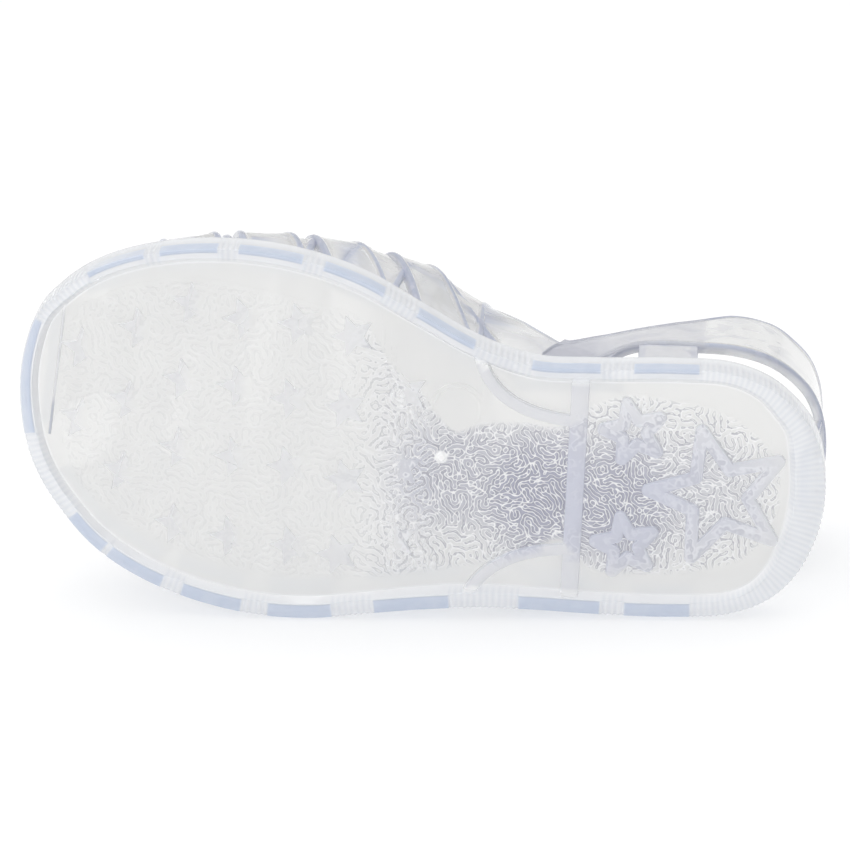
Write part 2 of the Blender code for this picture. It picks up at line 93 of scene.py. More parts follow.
# Sole outline: distance along the foot, inner edge, outer edge
OUTLINE = [
    (73.5, 3.2, 3.2),
    (72.5, 11.2, -6.6),
    (70.5, 17.1, -12.3),
    (66.5, 21.9, -18.7),
    (60.5, 26.4, -25.4),
    (50.5, 30.2, -31.6),
    (40.5, 31.7, -35.1),
    (30.5, 31.6, -37.0),
    (20.5, 29.9, -37.3),
    (10.5, 26.3, -36.2),
    (0.5, 20.5, -35.2),
    (-9.5, 14.8, -34.6),
    (-19.5, 11.4, -34.8),
    (-29.5, 11.0, -35.3),
    (-44.5, 11.2, -35.6),
    (-54.5, 10.6, -34.9),
    (-61.5, 8.0, -32.2),
    (-66.5, 3.8, -27.5),
    (-69.5, -0.3, -21.9),
    (-71.1, -4.8, -16.6),
    (-71.7, -10.6, -10.6),
]

# Field of the tread texture: distance along the foot, inner limit, outer limit
TEXTURE_FIELD = [
    (67.0, 6.0, -2.0),
    (64.0, 16.5, -12.5),
    (58.0, 22.0, -19.0),
    (50.0, 25.0, -24.0),
    (40.0, 26.0, -28.0),
    (30.0, 24.5, -30.0),
    (20.0, 22.0, -30.5),
    (10.0, 18.0, -30.2),
    (5.0, 9.9, -29.8),
    (1.0, 6.5, -29.3),
    (-1.5, 2.8, -29.0),
    (-4.5, -0.8, -28.4),
    (-10.0, 0.4, -27.4),
    (-18.0, 0.8, -25.0),
    (-25.0, 0.6, -22.7),
    (-29.0, 3.7, -27.2),
    (-36.0, 6.3, -28.5),
    (-43.0, 5.7, -28.5),
    (-52.0, 3.7, -27.0),
    (-58.0, 0.3, -24.5),
    (-62.0, -4.5, -19.0),
    (-64.2, -10.0, -13.0),
]
TEXTURE_FADE = 1.8
TEXTURE_FINE = 0.25
TEXTURE_COARSE = 0.4
TEXTURE_ACROSS = 0.29
TEXTURE_CHANGE = 5.0
TEXTURE_PROUD = 0.03
TEXTURE_RISE = 0.24
TEXTURE_FOREFOOT_RISE = 0.11
TEXTURE_PITCH = 1.12
TEXTURE_GRID = 0.16
TEXTURE_DEPTH = 0.8
TEXTURE_SEED = 21
SETTLE_GROWTH = 0.9
SETTLE_BIAS = 0.2
SETTLE_STEP = 0.5
SETTLE_ROUNDS = 20
FOREFOOT_CALM = 0.84

# Last over the sole: distance along the foot, ridge height, ridge shift inward, inner and outer bulge
LAST = [
    (70.0, 4.0, 0.0, 0.0, 0.0),
    (65.0, 13.0, 0.0, 1.0, 0.0),
    (58.0, 19.5, 0.5, 1.9, 0.2),
    (50.0, 23.5, 1.0, 2.3, 0.5),
    (40.0, 26.5, 2.0, 2.2, 1.0),
    (30.0, 29.5, 3.0, 2.1, 1.5),
    (20.0, 33.5, 4.0, 2.1, 2.0),
    (10.0, 38.0, 5.0, 2.4, 2.5),
    (0.0, 42.5, 5.5, 2.9, 2.5),
    (-10.0, 46.0, 4.5, 1.5, 2.0),
    (-20.0, 49.0, 4.0, 0.7, 1.5),
    (-30.0, 52.0, 4.0, 0.0, 1.0),
]

# Straps that start at the inner side: inner foot, outer foot, early lean, late lean, depth under the top
# layer, extra width
OVER_STRAPS = [
    (42.3, 62.5, -0.4, 0.0, 0.0, 0.0),
    (27.5, 53.5, -0.3, 0.0, 0.0, 0.0),
    (12.2, 39.3, 0.3, 0.0, 0.0, 0.0),
    (-3.4, 22.8, 0.6, 0.0, 0.0, 0.0),
    (-26.0, 2.3, 3.1, 0.6, 1.1, 5.6),
]

# Straps that start at the outer side: outer foot, inner foot, early lean, late lean, depth under the top
# layer, extra width
UNDER_STRAPS = [
    (53.5, 55.7, -0.4, 0.0, 0.65, 0.0),
    (39.3, 42.3, -0.4, -0.6, 0.65, 0.0),
    (22.8, 27.5, -0.4, -1.2, 0.65, 0.0),
    (2.3, 12.2, -0.3, -1.2, 0.65, 0.0),
    (-23.5, -3.9, 2.3, 0.6, 1.1, 0.0),
]

# Toe strap: middle of its foot across the toe, end on the ridge, widths at foot and at the crossing
TOE_FOOT = 6.3
TOE_END = (49.0, 1.2)
TOE_WIDTHS = (21.0, 12.0)
TOE_STEPS = 48

# Quarter and heel band: distance along the foot, lower edge, upper edge above the sole top
BAND = [
    (-19.8, 0.4, 6.6),
    (-22.4, 0.4, 12.0),
    (-27.0, 1.6, 15.0),
    (-31.6, 6.0, 18.0),
    (-36.6, 11.4, 21.5),
    (-43.0, 12.4, 26.0),
    (-49.0, 12.0, 31.0),
    (-54.0, 12.0, 35.9),
    (-60.0, 13.2, 38.7),
    (-66.0, 15.4, 39.7),
    (-75.0, 16.5, 40.2),
]

# Feet of the quarter: distance along the foot at the sole and at the band, height, width
QUARTER_FEET = [
    (-25.4, -29.2, 12.6, 12.0),
    (-43.0, -43.0, 13.8, 10.8),
]
STAY_WIDTH = 11.0
STAY_HEIGHT = 18.2
STAY_INSET = 0.35
FOOT_STEPS = 20
BEAD_POINT = 7
BEAD_FADE = (0.5, 1.0)
EDGE_POINT = 4
EDGE_FADE = (0.15, 0.45)

# Strap feet that show as blue patches in the rim: distance along the foot, half length
INNER_PATCHES = [
    (55.7, 5.6),
    (42.3, 5.3),
    (27.5, 5.8),
    (12.2, 5.9),
    (-3.9, 5.9),
    (-25.2, 6.15),
    (-43.0, 5.8),
]
OUTER_PATCHES = [
    (62.3, 4.2),
    (53.5, 5.6),
    (39.3, 5.6),
    (22.8, 5.9),
    (2.3, 6.8),
    (-24.2, 7.3),
    (-41.8, 5.9),
]
TOE_PATCH = 11.0
PATCH_HEIGHT = 3.6
PATCH_REACH = (1.75, -1.05, 0.25)
PATCH_TOE_INSET = 0.4
PATCH_MARGIN = 0.55

# Zones where lavender shade is painted into the tread, for shade seen through the sole: middle along and
# across the foot, half length, half width, strength
PAINTED_SHADE_ZONES = [
    (-21.0, -12.6, 13.0, 12.0, 1.0),
    (-7.5, -10.2, 12.5, 10.5, 0.72),
    (-34.0, -13.8, 12.5, 11.5, 0.95),
    (-46.0, -12.0, 12.0, 10.0, 0.5),
]

# Tread ribs and stars
BAR = ((-27.8, 9.2), (-25.9, -33.6))
BAR_WIDTH = 3.2
INNER_RIB = ((-9.8, 13.0), (-11.8, 2.4), (-27.0, 1.0))
OUTER_RIB = ((-7.4, -32.4), (-12.4, -23.0), (-26.6, -23.2))
RIB_WIDTH = 2.1
RIB_STEPS = 28
RIB_LEVEL = 0.12
RIB_SHOULDER = 0.3
RIB_SHOULDER_SHARE = 0.6
SHOULDER_SHARE = 0.3
LUG_ROOT = 0.6
STAR_RADIUS = 4.7
STAR_WAIST = 0.48
STAR_SHOULDER = 0.22
STAR_RISE = 0.55
STAR_TAPER = 0.84
HEEL_STAR_LEVEL = 0.25
SMALL_STAR_TONE = 0.55
TOE_LINE = ((64.9, 19.8), (68.3, -4.8))
TOE_LINE_WIDTH = 0.5
TOE_LINE_RISE = 0.2
RING_MARK = (-5.6, 2.1, 5.0)
RING_STEP = 0.75
RING_THICK = 0.16
RING_RISE = 0.02
GATE_MARK = (-2.7, -6.8, 1.05)
GATE_SINK = 0.1
GATE_FLAT = 0.55

# Small stars under the forefoot: distance along the foot, across the foot, turn in degrees
SMALL_STARS = [
    (61.5, 11.8, 12.0),
    (51.0, 16.2, 6.0),
    (41.3, 21.1, 11.0),
    (32.2, 18.7, -3.0),
    (22.4, 18.0, 2.0),
    (12.9, 15.9, -1.0),
    (62.2, -1.6, 20.0),
    (53.1, 2.4, 15.0),
    (43.2, 6.9, 8.0),
    (33.2, 6.0, 3.0),
    (23.9, 4.0, 0.0),
    (14.3, 2.5, 6.0),
    (3.6, 5.3, 4.0),
    (54.6, -11.1, 18.0),
    (44.1, -6.1, 10.0),
    (34.2, -7.4, 4.0),
    (24.6, -8.8, 2.0),
    (14.4, -11.0, 3.0),
    (4.5, -8.8, 12.0),
    (45.1, -20.5, 8.0),
    (35.1, -22.5, 2.0),
    (24.3, -23.9, 3.0),
    (15.9, -25.3, 1.0),
    (5.4, -22.4, 9.0),
]

# Heel stars: distance along the foot, across the foot, outer radius, rib width, turn in degrees
HEEL_STARS = [
    (-52.5, -12.6, 13.8, 2.4, 4.0),
    (-37.3, -0.9, 6.65, 2.3, 5.0),
    (-36.0, -22.3, 6.65, 2.3, 8.0),
]
HEEL_STAR_WAIST = 0.42
HEEL_STAR_TURNS = 8


def rest_matrix():
    """From the shoe's frame in millimetres to the row's frame in metres."""
    up = Vector(FLOOR_UP).normalized()
    toe = Vector((1.0, 0.0, 0.0))
    toe = (toe - up * toe.dot(up)).normalized()
    back = toe.cross(up)
    turn = Matrix((-toe, back, up)).to_4x4()
    return Matrix.Translation(Vector(REST_MOVE) * MM) @ turn @ Matrix.Scale(MM, 4)


REST = rest_matrix()


def smooth(table, column, at):
    """Read one column of a table at a distance along the foot, with a smooth curve through its rows."""
    rows = sorted(table)
    xs = np.array([row[0] for row in rows])
    ys = np.array([row[column] for row in rows])
    slopes = np.gradient(ys, xs)
    at = np.clip(np.asarray(at, float), xs[0], xs[-1])
    k = np.clip(np.searchsorted(xs, at) - 1, 0, len(xs) - 2)
    step = xs[k + 1] - xs[k]
    t = (at - xs[k]) / step
    rise = ys[k] * (2 * t ** 3 - 3 * t ** 2 + 1) + ys[k + 1] * (3 * t ** 2 - 2 * t ** 3)
    return rise + step * (slopes[k] * (t ** 3 - 2 * t ** 2 + t) + slopes[k + 1] * (t ** 3 - t ** 2))


def ease(value, low, high):
    """Smooth step from 0 at low to 1 at high."""
    t = np.clip((np.asarray(value, float) - low) / (high - low), 0.0, 1.0)
    return t * t * (3 - 2 * t)


def spring(x):
    """Height of the tread line over the floor plane of the sole."""
    reach = np.clip((np.asarray(x, float) - SPRING_START) / (OUTLINE[0][0] - SPRING_START), 0.0, None)
    return TOE_SPRING * reach ** 2


def tread_floor(x):
    """Height of the recessed tread panel, with the arch at the waist."""
    x = np.asarray(x, float)
    reach = np.clip((x - ARCH_BACK) / (ARCH_FRONT - ARCH_BACK), 0.0, 1.0)
    return spring(x) + TREAD_RECESS + ARCH_RISE * np.sin(np.pi * reach) ** 2


def foot_level(x):
    """Height at which the strap feet stand, a joint gap above the foot bed."""
    return spring(x) + SOLE_HEIGHT - LIP_HEIGHT + JOINT_GAP


def even_steps(path, count):
    """The same path with points at even steps."""
    lengths = np.linalg.norm(np.diff(path, axis=0), axis=1)
    reach = np.concatenate([[0.0], np.cumsum(lengths)])
    at = np.linspace(0.0, reach[-1], count)
    return np.stack([np.interp(at, reach, path[:, c]) for c in range(path.shape[1])], 1)


def outline_loop():
    """Closed outline of the sole at even steps: toe tip, inner side, heel tip, outer side."""
    toe = OUTLINE[0][0]
    heel = OUTLINE[-1][0]
    middle = (toe + heel) / 2
    half = (toe - heel) / 2
    turned = [(-math.acos((row[0] - middle) / half), row[1], row[2]) for row in OUTLINE]
    turns = -np.linspace(0.0, math.pi, 4 * SIDE_POINTS)
    along = middle + half * np.cos(turns)
    inner = even_steps(np.stack([along, smooth(turned, 1, turns)], 1), SIDE_POINTS)
    outer = even_steps(np.stack([along, smooth(turned, 2, turns)], 1), SIDE_POINTS)
    return np.concatenate([inner, outer[-2:0:-1]])


def outward(loop):
    """Outward unit normals of a closed plan curve that runs from toe along the inner side."""
    run = np.roll(loop, -1, 0) - np.roll(loop, 1, 0)
    normals = np.stack([run[:, 1], -run[:, 0]], 1)
    return normals / np.linalg.norm(normals, axis=1)[:, None]


SOLE_LOOP = outline_loop()
SOLE_OUT = outward(SOLE_LOOP)


def inset_loop(inset):
    """The sole outline moved inward."""
    return SOLE_LOOP - SOLE_OUT * inset


def patch_mask():
    """For each point of the outline, 1 where a strap foot shows in the rim and 0 between the feet."""
    mask = np.zeros(len(SOLE_LOOP))
    index = np.arange(len(SOLE_LOOP))
    lengths = np.linalg.norm(np.roll(SOLE_LOOP, -1, 0) - SOLE_LOOP, axis=1)
    reach = np.concatenate([[0.0], np.cumsum(lengths)[:-1]])
    for table, side in ((INNER_PATCHES, index < SIDE_POINTS), (OUTER_PATCHES, index >= SIDE_POINTS)):
        for along, half in table:
            spots = index[side]
            middle = reach[spots[np.argmin(np.abs(SOLE_LOOP[spots, 0] - along))]]
            mask = np.maximum(mask, ease(half - np.abs(reach - middle), -0.15, 0.15))
    front = SOLE_LOOP[:, 0] > TOE_END[0]
    toe = ease(TOE_PATCH - np.abs(SOLE_LOOP[:, 1] - TOE_FOOT), -0.15, 0.15)
    return np.where(front, np.maximum(mask, toe), mask)


def rim_width():
    """Width of the flat rim at each point of the outline: narrow on the inner side, wide behind the heel."""
    back = np.clip(-SOLE_OUT[:, 0], 0.0, 1.0) * ease(-SOLE_LOOP[:, 0], 50.0, 60.0)
    return RIM_SIDE - RIM_SKEW * SOLE_OUT[:, 1] + RIM_BACK * back ** RIM_BACK_POWER


def patch_reach():
    """How far a strap foot shows inward from the outline, at each point of the outline."""
    front = np.clip(SOLE_OUT[:, 0], 0.0, 1.0)
    reach = PATCH_REACH[0] + PATCH_REACH[1] * SOLE_OUT[:, 1] + PATCH_REACH[2] * front
    return np.minimum(reach, RIM - PATCH_MARGIN)


RIM = rim_width()
REACH = patch_reach()
PATCHES = patch_mask()
FLUTES = (0.5 - 0.5 * np.cos(2 * np.pi * np.arange(len(SOLE_LOOP)) / FLUTE_POINTS)) * (1 - PATCHES)


def deselect():
    """Leave edit mode and select nothing."""
    if bpy.context.object and bpy.context.object.mode != "OBJECT":
        bpy.ops.object.mode_set(mode="OBJECT")
    bpy.ops.object.select_all(action="DESELECT")


def activate(obj):
    """Select one object alone."""
    deselect()
    obj.select_set(True)
    bpy.context.view_layer.objects.active = obj


def mesh_object(name, points, faces):
    """One closed object from points in millimetres and its faces, normals out."""
    mesh = bpy.data.meshes.new(name)
    mesh.from_pydata([tuple(map(float, p)) for p in points], [], faces)
    obj = bpy.data.objects.new(name, mesh)
    bpy.context.scene.collection.objects.link(obj)
    edit = bmesh.new()
    edit.from_mesh(mesh)
    bmesh.ops.recalc_face_normals(edit, faces=edit.faces)
    if edit.calc_volume(signed=True) < 0:
        bmesh.ops.reverse_faces(edit, faces=edit.faces)
    edit.to_mesh(mesh)
    edit.free()
    return obj


def combine(target, tool, operation):
    """Unite a solid with the target or cut it out, and remove it."""
    activate(target)
    modifier = target.modifiers.new("combine", "BOOLEAN")
    modifier.operation = operation
    modifier.solver = "MANIFOLD"
    modifier.object = tool
    bpy.ops.object.modifier_apply(modifier=modifier.name)
    bpy.data.objects.remove(tool, do_unlink=True)


def join_solids(target, tools):
    """Unite solids with the target, one after the other."""
    for tool in tools:
        combine(target, tool, "UNION")


def cut_solid(target, tool):
    """Cut a solid out of the target."""
    combine(target, tool, "DIFFERENCE")


def ring_faces(first, second, count):
    """Quads between two rings of points."""
    return [(first + i, first + (i + 1) % count, second + (i + 1) % count, second + i)
            for i in range(count)]


def ladder(start, count):
    """Faces that close a loop of the sole, rung by rung from toe to heel."""
    half = count // 2
    faces = [(start, start + 1, start + count - 1)]
    for i in range(1, half - 1):
        faces.append((start + i, start + i + 1, start + count - i - 1, start + count - i))
    faces.append((start + half - 1, start + half, start + half + 1))
    return faces


def sole_body():
    """Sole plate with rounded rim, fluted wall between the strap feet, lip and recessed panel."""
    top = SOLE_HEIGHT
    bed = SOLE_HEIGHT - LIP_HEIGHT
    lip = LIP_WIDTH + LIP_DRAFT
    # inset from the outline, height over the tread line, share of the flutes
    rings = [
        (RIM + RIM_DRAFT + 0.4, None, 0.0),
        (RIM + RIM_DRAFT, None, 0.0),
        (RIM + 0.05, 0.3, 0.0),
        (RIM - 0.25, 0.0, 0.0),
        (REACH + 0.2, 0.0, 1.0),
        (REACH, 0.0, 1.0),
        (REACH - 0.2, 0.0, 1.0),
        (0.3, 0.0, 1.0),
        (0.1, 0.12, 1.0),
        (0.0, 0.5, 1.0),
        (0.0, PATCH_HEIGHT - 0.2, 1.0),
        (0.0, PATCH_HEIGHT, 1.0),
        (0.0, top - 1.6, 1.0),
        (0.0, top - 0.7, 0.0),
        (0.12, top - 0.22, 0.0),
        (0.6, top, 0.0),
        (LIP_WIDTH - 0.35, top, 0.0),
        (LIP_WIDTH, top - 0.3, 0.0),
        (lip + 0.1, bed, 0.0),
    ]
    count = len(SOLE_LOOP)
    points = []
    for inset, level, fluted in rings:
        loop = SOLE_LOOP - SOLE_OUT * (inset + FLUTES * FLUTE_DEPTH * fluted)[:, None]
        heights = tread_floor(loop[:, 0]) if level is None else spring(loop[:, 0]) + level
        if level == 0.0:
            heights = heights + FLUTES * FLUTE_SINK * fluted
        points.extend(np.column_stack([loop, heights]))
    faces = ladder(0, count)
    for k in range(len(rings) - 1):
        faces.extend(ring_faces(k * count, (k + 1) * count, count))
    faces.extend(ladder((len(rings) - 1) * count, count))
    return mesh_object("outsole_moulding", points, faces)


def winding_pattern():
    """Winding stripes of one pitch over the tread, from seeded noise that settles step by step."""
    draw = np.random.default_rng(TEXTURE_SEED)
    count_x = int((TEXTURE_FIELD[0][0] - TEXTURE_FIELD[-1][0]) / TEXTURE_GRID) + 2
    count_y = int((TEXTURE_WIDE[0] - TEXTURE_WIDE[1]) / TEXTURE_GRID) + 2
    pattern = draw.normal(0.0, 0.3, (count_x, count_y))
    wave_x = np.fft.fftfreq(count_x, TEXTURE_GRID)[:, None]
    wave_y = np.fft.fftfreq(count_y, TEXTURE_GRID)[None, :]
    wave = (wave_x ** 2 + wave_y ** 2) * TEXTURE_PITCH ** 2
    damp = 1 / (1 - SETTLE_STEP * (SETTLE_GROWTH - (1 - wave) ** 2))
    for _ in range(SETTLE_ROUNDS):
        push = SETTLE_STEP * (SETTLE_BIAS * pattern ** 2 - pattern ** 3)
        pattern = np.fft.ifft2(np.fft.fft2(pattern + push) * damp).real
    return pattern / pattern.std()


TEXTURE_WIDE = (max(row[1] for row in TEXTURE_FIELD), min(row[2] for row in TEXTURE_FIELD))
PATTERN = winding_pattern()


def winding(x, y):
    """Winding pattern of the tread, above 0 on a ridge and below 0 in a valley."""
    at_x = np.clip((x - TEXTURE_FIELD[-1][0]) / TEXTURE_GRID, 0.0, PATTERN.shape[0] - 1.001)
    at_y = np.clip((y - TEXTURE_WIDE[1]) / TEXTURE_GRID, 0.0, PATTERN.shape[1] - 1.001)
    i = at_x.astype(int)
    j = at_y.astype(int)
    u = at_x - i
    v = at_y - j
    near = PATTERN[i, j] * (1 - u) * (1 - v) + PATTERN[i + 1, j] * u * (1 - v)
    far = PATTERN[i, j + 1] * (1 - u) * v + PATTERN[i + 1, j + 1] * u * v
    return near + far


def texture_field(x, y):
    """How strongly the texture stands out: 1 well inside its field, 0 outside."""
    inner = smooth(TEXTURE_FIELD, 1, x) - y
    outer = y - smooth(TEXTURE_FIELD, 2, x)
    front = TEXTURE_FIELD[0][0] - x
    back = x - TEXTURE_FIELD[-1][0]
    return ease(np.minimum(np.minimum(inner, outer), np.minimum(front, back)), 0.0, TEXTURE_FADE)


def texture_slab():
    """The textured part of the tread panel: a grid raised into winding ridges and given depth."""
    long_side = TEXTURE_FIELD[0][0] - TEXTURE_FIELD[-1][0]
    middle = ((TEXTURE_FIELD[0][0] + TEXTURE_FIELD[-1][0]) / 2, sum(TEXTURE_WIDE) / 2)
    across = TEXTURE_WIDE[0] - TEXTURE_WIDE[1]
    deselect()
    lines = np.concatenate([np.arange(TEXTURE_FIELD[-1][0], TEXTURE_CHANGE, TEXTURE_FINE),
                            np.arange(TEXTURE_CHANGE, TEXTURE_FIELD[0][0], TEXTURE_COARSE)])
    bpy.ops.mesh.primitive_grid_add(size=1.0, x_subdivisions=len(lines) - 1,
                                    y_subdivisions=int(across / TEXTURE_ACROSS),
                                    location=(*middle, 0.0))
    slab = bpy.context.object
    slab.scale = (long_side, across, 1.0)
    bpy.ops.object.transform_apply(location=True, rotation=False, scale=True)
    spots = mesh_points(slab)
    even = np.linspace(TEXTURE_FIELD[-1][0], TEXTURE_FIELD[0][0], len(lines))
    spots[:, 0] = np.interp(spots[:, 0], even, lines)
    x, y = spots[:, 0], spots[:, 1]
    field = texture_field(x, y)
    rise = TEXTURE_RISE + (TEXTURE_FOREFOOT_RISE - TEXTURE_RISE) * ease(x, -4.0, 16.0)
    spots[:, 2] = tread_floor(x) - TEXTURE_PROUD - rise * field * ease(winding(x, y), -0.9, 0.9)
    slab.data.vertices.foreach_set("co", spots.ravel())
    bpy.ops.object.mode_set(mode="EDIT")
    edit = bmesh.from_edit_mesh(slab.data)
    edit.verts.ensure_lookup_table()
    for vert in edit.verts:
        vert.select_set(bool(field[vert.index] <= 0.0))
    edit.select_flush_mode()
    bmesh.update_edit_mesh(slab.data)
    bpy.ops.mesh.select_mode(type="VERT")
    bpy.ops.mesh.delete(type="VERT")
    bpy.ops.mesh.select_all(action="SELECT")
    bpy.ops.mesh.extrude_region_move(TRANSFORM_OT_translate={"value": (0.0, 0.0, TEXTURE_DEPTH)})
    bpy.ops.mesh.select_all(action="SELECT")
    bpy.ops.mesh.normals_make_consistent(inside=False)
    bpy.ops.object.mode_set(mode="OBJECT")
    return slab


def star_face(radius, waist):
    """A flat star in edit mode, one tip along +X."""
    deselect()
    bpy.ops.mesh.primitive_circle_add(vertices=10, radius=radius, fill_type="NGON", location=(0.0, 0.0, 0.0))
    star = bpy.context.object
    bpy.ops.object.mode_set(mode="EDIT")
    bpy.ops.mesh.select_mode(type="VERT")
    edit = bmesh.from_edit_mesh(star.data)
    for k, vert in enumerate(edit.verts):
        turn = math.radians(36.0 * k)
        reach = radius if k % 2 == 0 else radius * waist
        vert.co = (reach * math.cos(turn), reach * math.sin(turn), 0.0)
    edit.normal_update()
    bmesh.update_edit_mesh(star.data)
    return star


def select_level(obj, low, high):
    """In edit mode, select the faces whose middle lies between two heights."""
    edit = bmesh.from_edit_mesh(obj.data)
    for face in edit.faces:
        face.select_set(low <= face.calc_center_median().z <= high)
    edit.select_flush_mode()
    bmesh.update_edit_mesh(obj.data)


def small_star():
    """A low star that rises to its middle, its root at +Z."""
    star = star_face(STAR_RADIUS, STAR_WAIST)
    depth = LUG_ROOT + STAR_SHOULDER
    bpy.ops.mesh.select_all(action="SELECT")
    bpy.ops.transform.translate(value=(0.0, 0.0, LUG_ROOT))
    bpy.ops.mesh.extrude_region_move(TRANSFORM_OT_translate={"value": (0.0, 0.0, -depth)})
    bpy.ops.transform.resize(value=(STAR_TAPER, STAR_TAPER, 1.0), center_override=(0.0, 0.0, 0.0))
    select_level(star, -STAR_SHOULDER - 0.01, -STAR_SHOULDER + 0.01)
    bpy.ops.mesh.poke()
    edit = bmesh.from_edit_mesh(star.data)
    for vert in edit.verts:
        if abs(vert.co.x) < 0.01 and abs(vert.co.y) < 0.01 and vert.co.z < 0:
            vert.co.z = -STAR_RISE
    bmesh.update_edit_mesh(star.data)
    bpy.ops.mesh.select_all(action="SELECT")
    bpy.ops.mesh.normals_make_consistent(inside=False)
    bpy.ops.object.mode_set(mode="OBJECT")
    return star


def star_outline(tip, waist, away):
    """Closed star outline moved outward, or inward below zero, with round corners where it opens."""
    turns = np.radians(36.0 * np.arange(10))
    reach = np.where(np.arange(10) % 2 == 0, tip, waist)
    corners = np.stack([reach * np.cos(turns), reach * np.sin(turns)], 1)
    run = np.roll(corners, -1, 0) - corners
    normals = np.stack([run[:, 1], -run[:, 0]], 1)
    normals = normals / np.linalg.norm(normals, axis=1)[:, None]
    loop = []
    for k, corner in enumerate(corners):
        before, after = normals[k - 1], normals[k]
        if (k % 2 == 0) == (away > 0):
            shares = np.linspace(0.0, 1.0, HEEL_STAR_TURNS)[:, None]
            fan = before * (1 - shares) + after * shares
            loop.extend(corner + away * fan / np.linalg.norm(fan, axis=1)[:, None])
        else:
            loop.append(corner + away * (before + after) / (1 + before @ after))
    return np.array(loop)


def heel_star(radius, rib):
    """A flat star outline with rounded tips, soft shoulders and an open middle, its root at +Z."""
    half = rib / 2
    tip = radius - half
    waist = tip * HEEL_STAR_WAIST
    root = TREAD_RECESS - HEEL_STAR_LEVEL + LUG_ROOT
    # inset of the shoulder, height over the face
    shoulder = [(0.0, root), (0.0, 0.4), (0.1, 0.12), (0.35, 0.0)]
    solid = [np.column_stack([loop, np.full(len(loop), level)]) for loop, level in
             ((star_outline(tip, waist, half - inset), level) for inset, level in shoulder)]
    ends = [(0.0, root + 1.0)] + shoulder[1:] + [(0.35, -1.0)]
    hole = [np.column_stack([loop, np.full(len(loop), level)]) for loop, level in
            ((star_outline(tip, waist, inset - half), level) for inset, level in ends)]
    star = close_sweep(solid, "heel_star")
    cut_solid(star, close_sweep(hole, "heel_star_middle"))
    return star


def copy_to(obj, x, y, z, turn):
    """A copy of a tread lug with its own mesh, turned and set in place."""
    lug = obj.copy()
    lug.data = obj.data.copy()
    bpy.context.scene.collection.objects.link(lug)
    lug.data.transform(Matrix.Translation((x, y, z)) @ Matrix.Rotation(math.radians(turn), 4, "Z"))
    return lug


def ribbon(path, width, levels, name):
    """A flat rib with rounded shoulders along a plan path, its face at the given heights."""
    path = np.array(path, float)
    run = np.gradient(path, axis=0)
    side = np.stack([-run[:, 1], run[:, 0]], 1)
    side = side / np.linalg.norm(side, axis=1)[:, None]
    points = []
    for spot, across, level in zip(path, side, levels):
        root = float(tread_floor(spot[0])) + LUG_ROOT
        half = width / 2
        soft = min(RIB_SHOULDER, half * RIB_SHOULDER_SHARE)
        corner = SHOULDER_SHARE * soft
        section = [
            (half, root),
            (-half, root),
            (-half, level + soft),
            (-half + corner, level + corner),
            (-half + soft, level),
            (half - soft, level),
            (half - corner, level + corner),
            (half, level + soft),
        ]
        points.extend((*(spot + across * offset), height) for offset, height in section)
    corners = len(section)
    last = (len(path) - 1) * corners
    faces = [tuple(range(corners)), tuple(range(last, last + corners))]
    for k in range(len(path) - 1):
        faces.extend(ring_faces(k * corners, (k + 1) * corners, corners))
    return mesh_object(name, points, faces)


def bend(start, middle, end):
    """Plan path of a curved rib."""
    ts = np.linspace(0.0, 1.0, RIB_STEPS)[:, None]
    return (1 - ts) ** 2 * np.array(start) + 2 * ts * (1 - ts) * np.array(middle) + ts ** 2 * np.array(end)


def round_marks():
    """The plain double ring and the round gate mark at the waist."""
    x, y, radius = RING_MARK
    marks = []
    deselect()
    for reach in (radius, radius - RING_STEP):
        bpy.ops.mesh.primitive_torus_add(major_radius=reach, minor_radius=RING_THICK, major_segments=72,
                                         minor_segments=8, location=(x, y, float(tread_floor(x)) - RING_RISE))
        marks.append(bpy.context.object)
    x, y, radius = GATE_MARK
    bpy.ops.mesh.primitive_uv_sphere_add(segments=24, ring_count=12, radius=radius,
                                         location=(x, y, float(tread_floor(x)) + GATE_SINK))
    gate = bpy.context.object
    gate.scale = (1.0, 1.0, GATE_FLAT)
    marks.append(gate)
    for mark in marks:
        activate(mark)
        bpy.ops.object.transform_apply(location=True, rotation=False, scale=True)
    return marks


def build_outsole():
    """The outsole moulding with its texture, stars, ribs and marks in one solid."""
    sole = sole_body()
    tools = [texture_slab()]
    star = small_star()
    for x, y, turn in SMALL_STARS:
        tools.append(copy_to(star, x, y, float(tread_floor(x)), turn))
    bpy.data.objects.remove(star, do_unlink=True)
    for x, y, radius, rib, turn in HEEL_STARS:
        outline = heel_star(radius, rib)
        tools.append(copy_to(outline, x, y, HEEL_STAR_LEVEL, turn))
        bpy.data.objects.remove(outline, do_unlink=True)
    level = np.full(RIB_STEPS, RIB_LEVEL)
    tools.append(ribbon(bend(*INNER_RIB), RIB_WIDTH, level, "inner_rib"))
    tools.append(ribbon(bend(*OUTER_RIB), RIB_WIDTH, level, "outer_rib"))
    tools.append(ribbon(np.linspace(BAR[0], BAR[1], RIB_STEPS), BAR_WIDTH, level, "heel_bar"))
    toe_line = np.linspace(TOE_LINE[0], TOE_LINE[1], RIB_STEPS)
    tools.append(ribbon(toe_line, TOE_LINE_WIDTH, tread_floor(toe_line[:, 0]) - TOE_LINE_RISE, "toe_line"))
    tools.extend(round_marks())
    join_solids(sole, tools)
    return sole


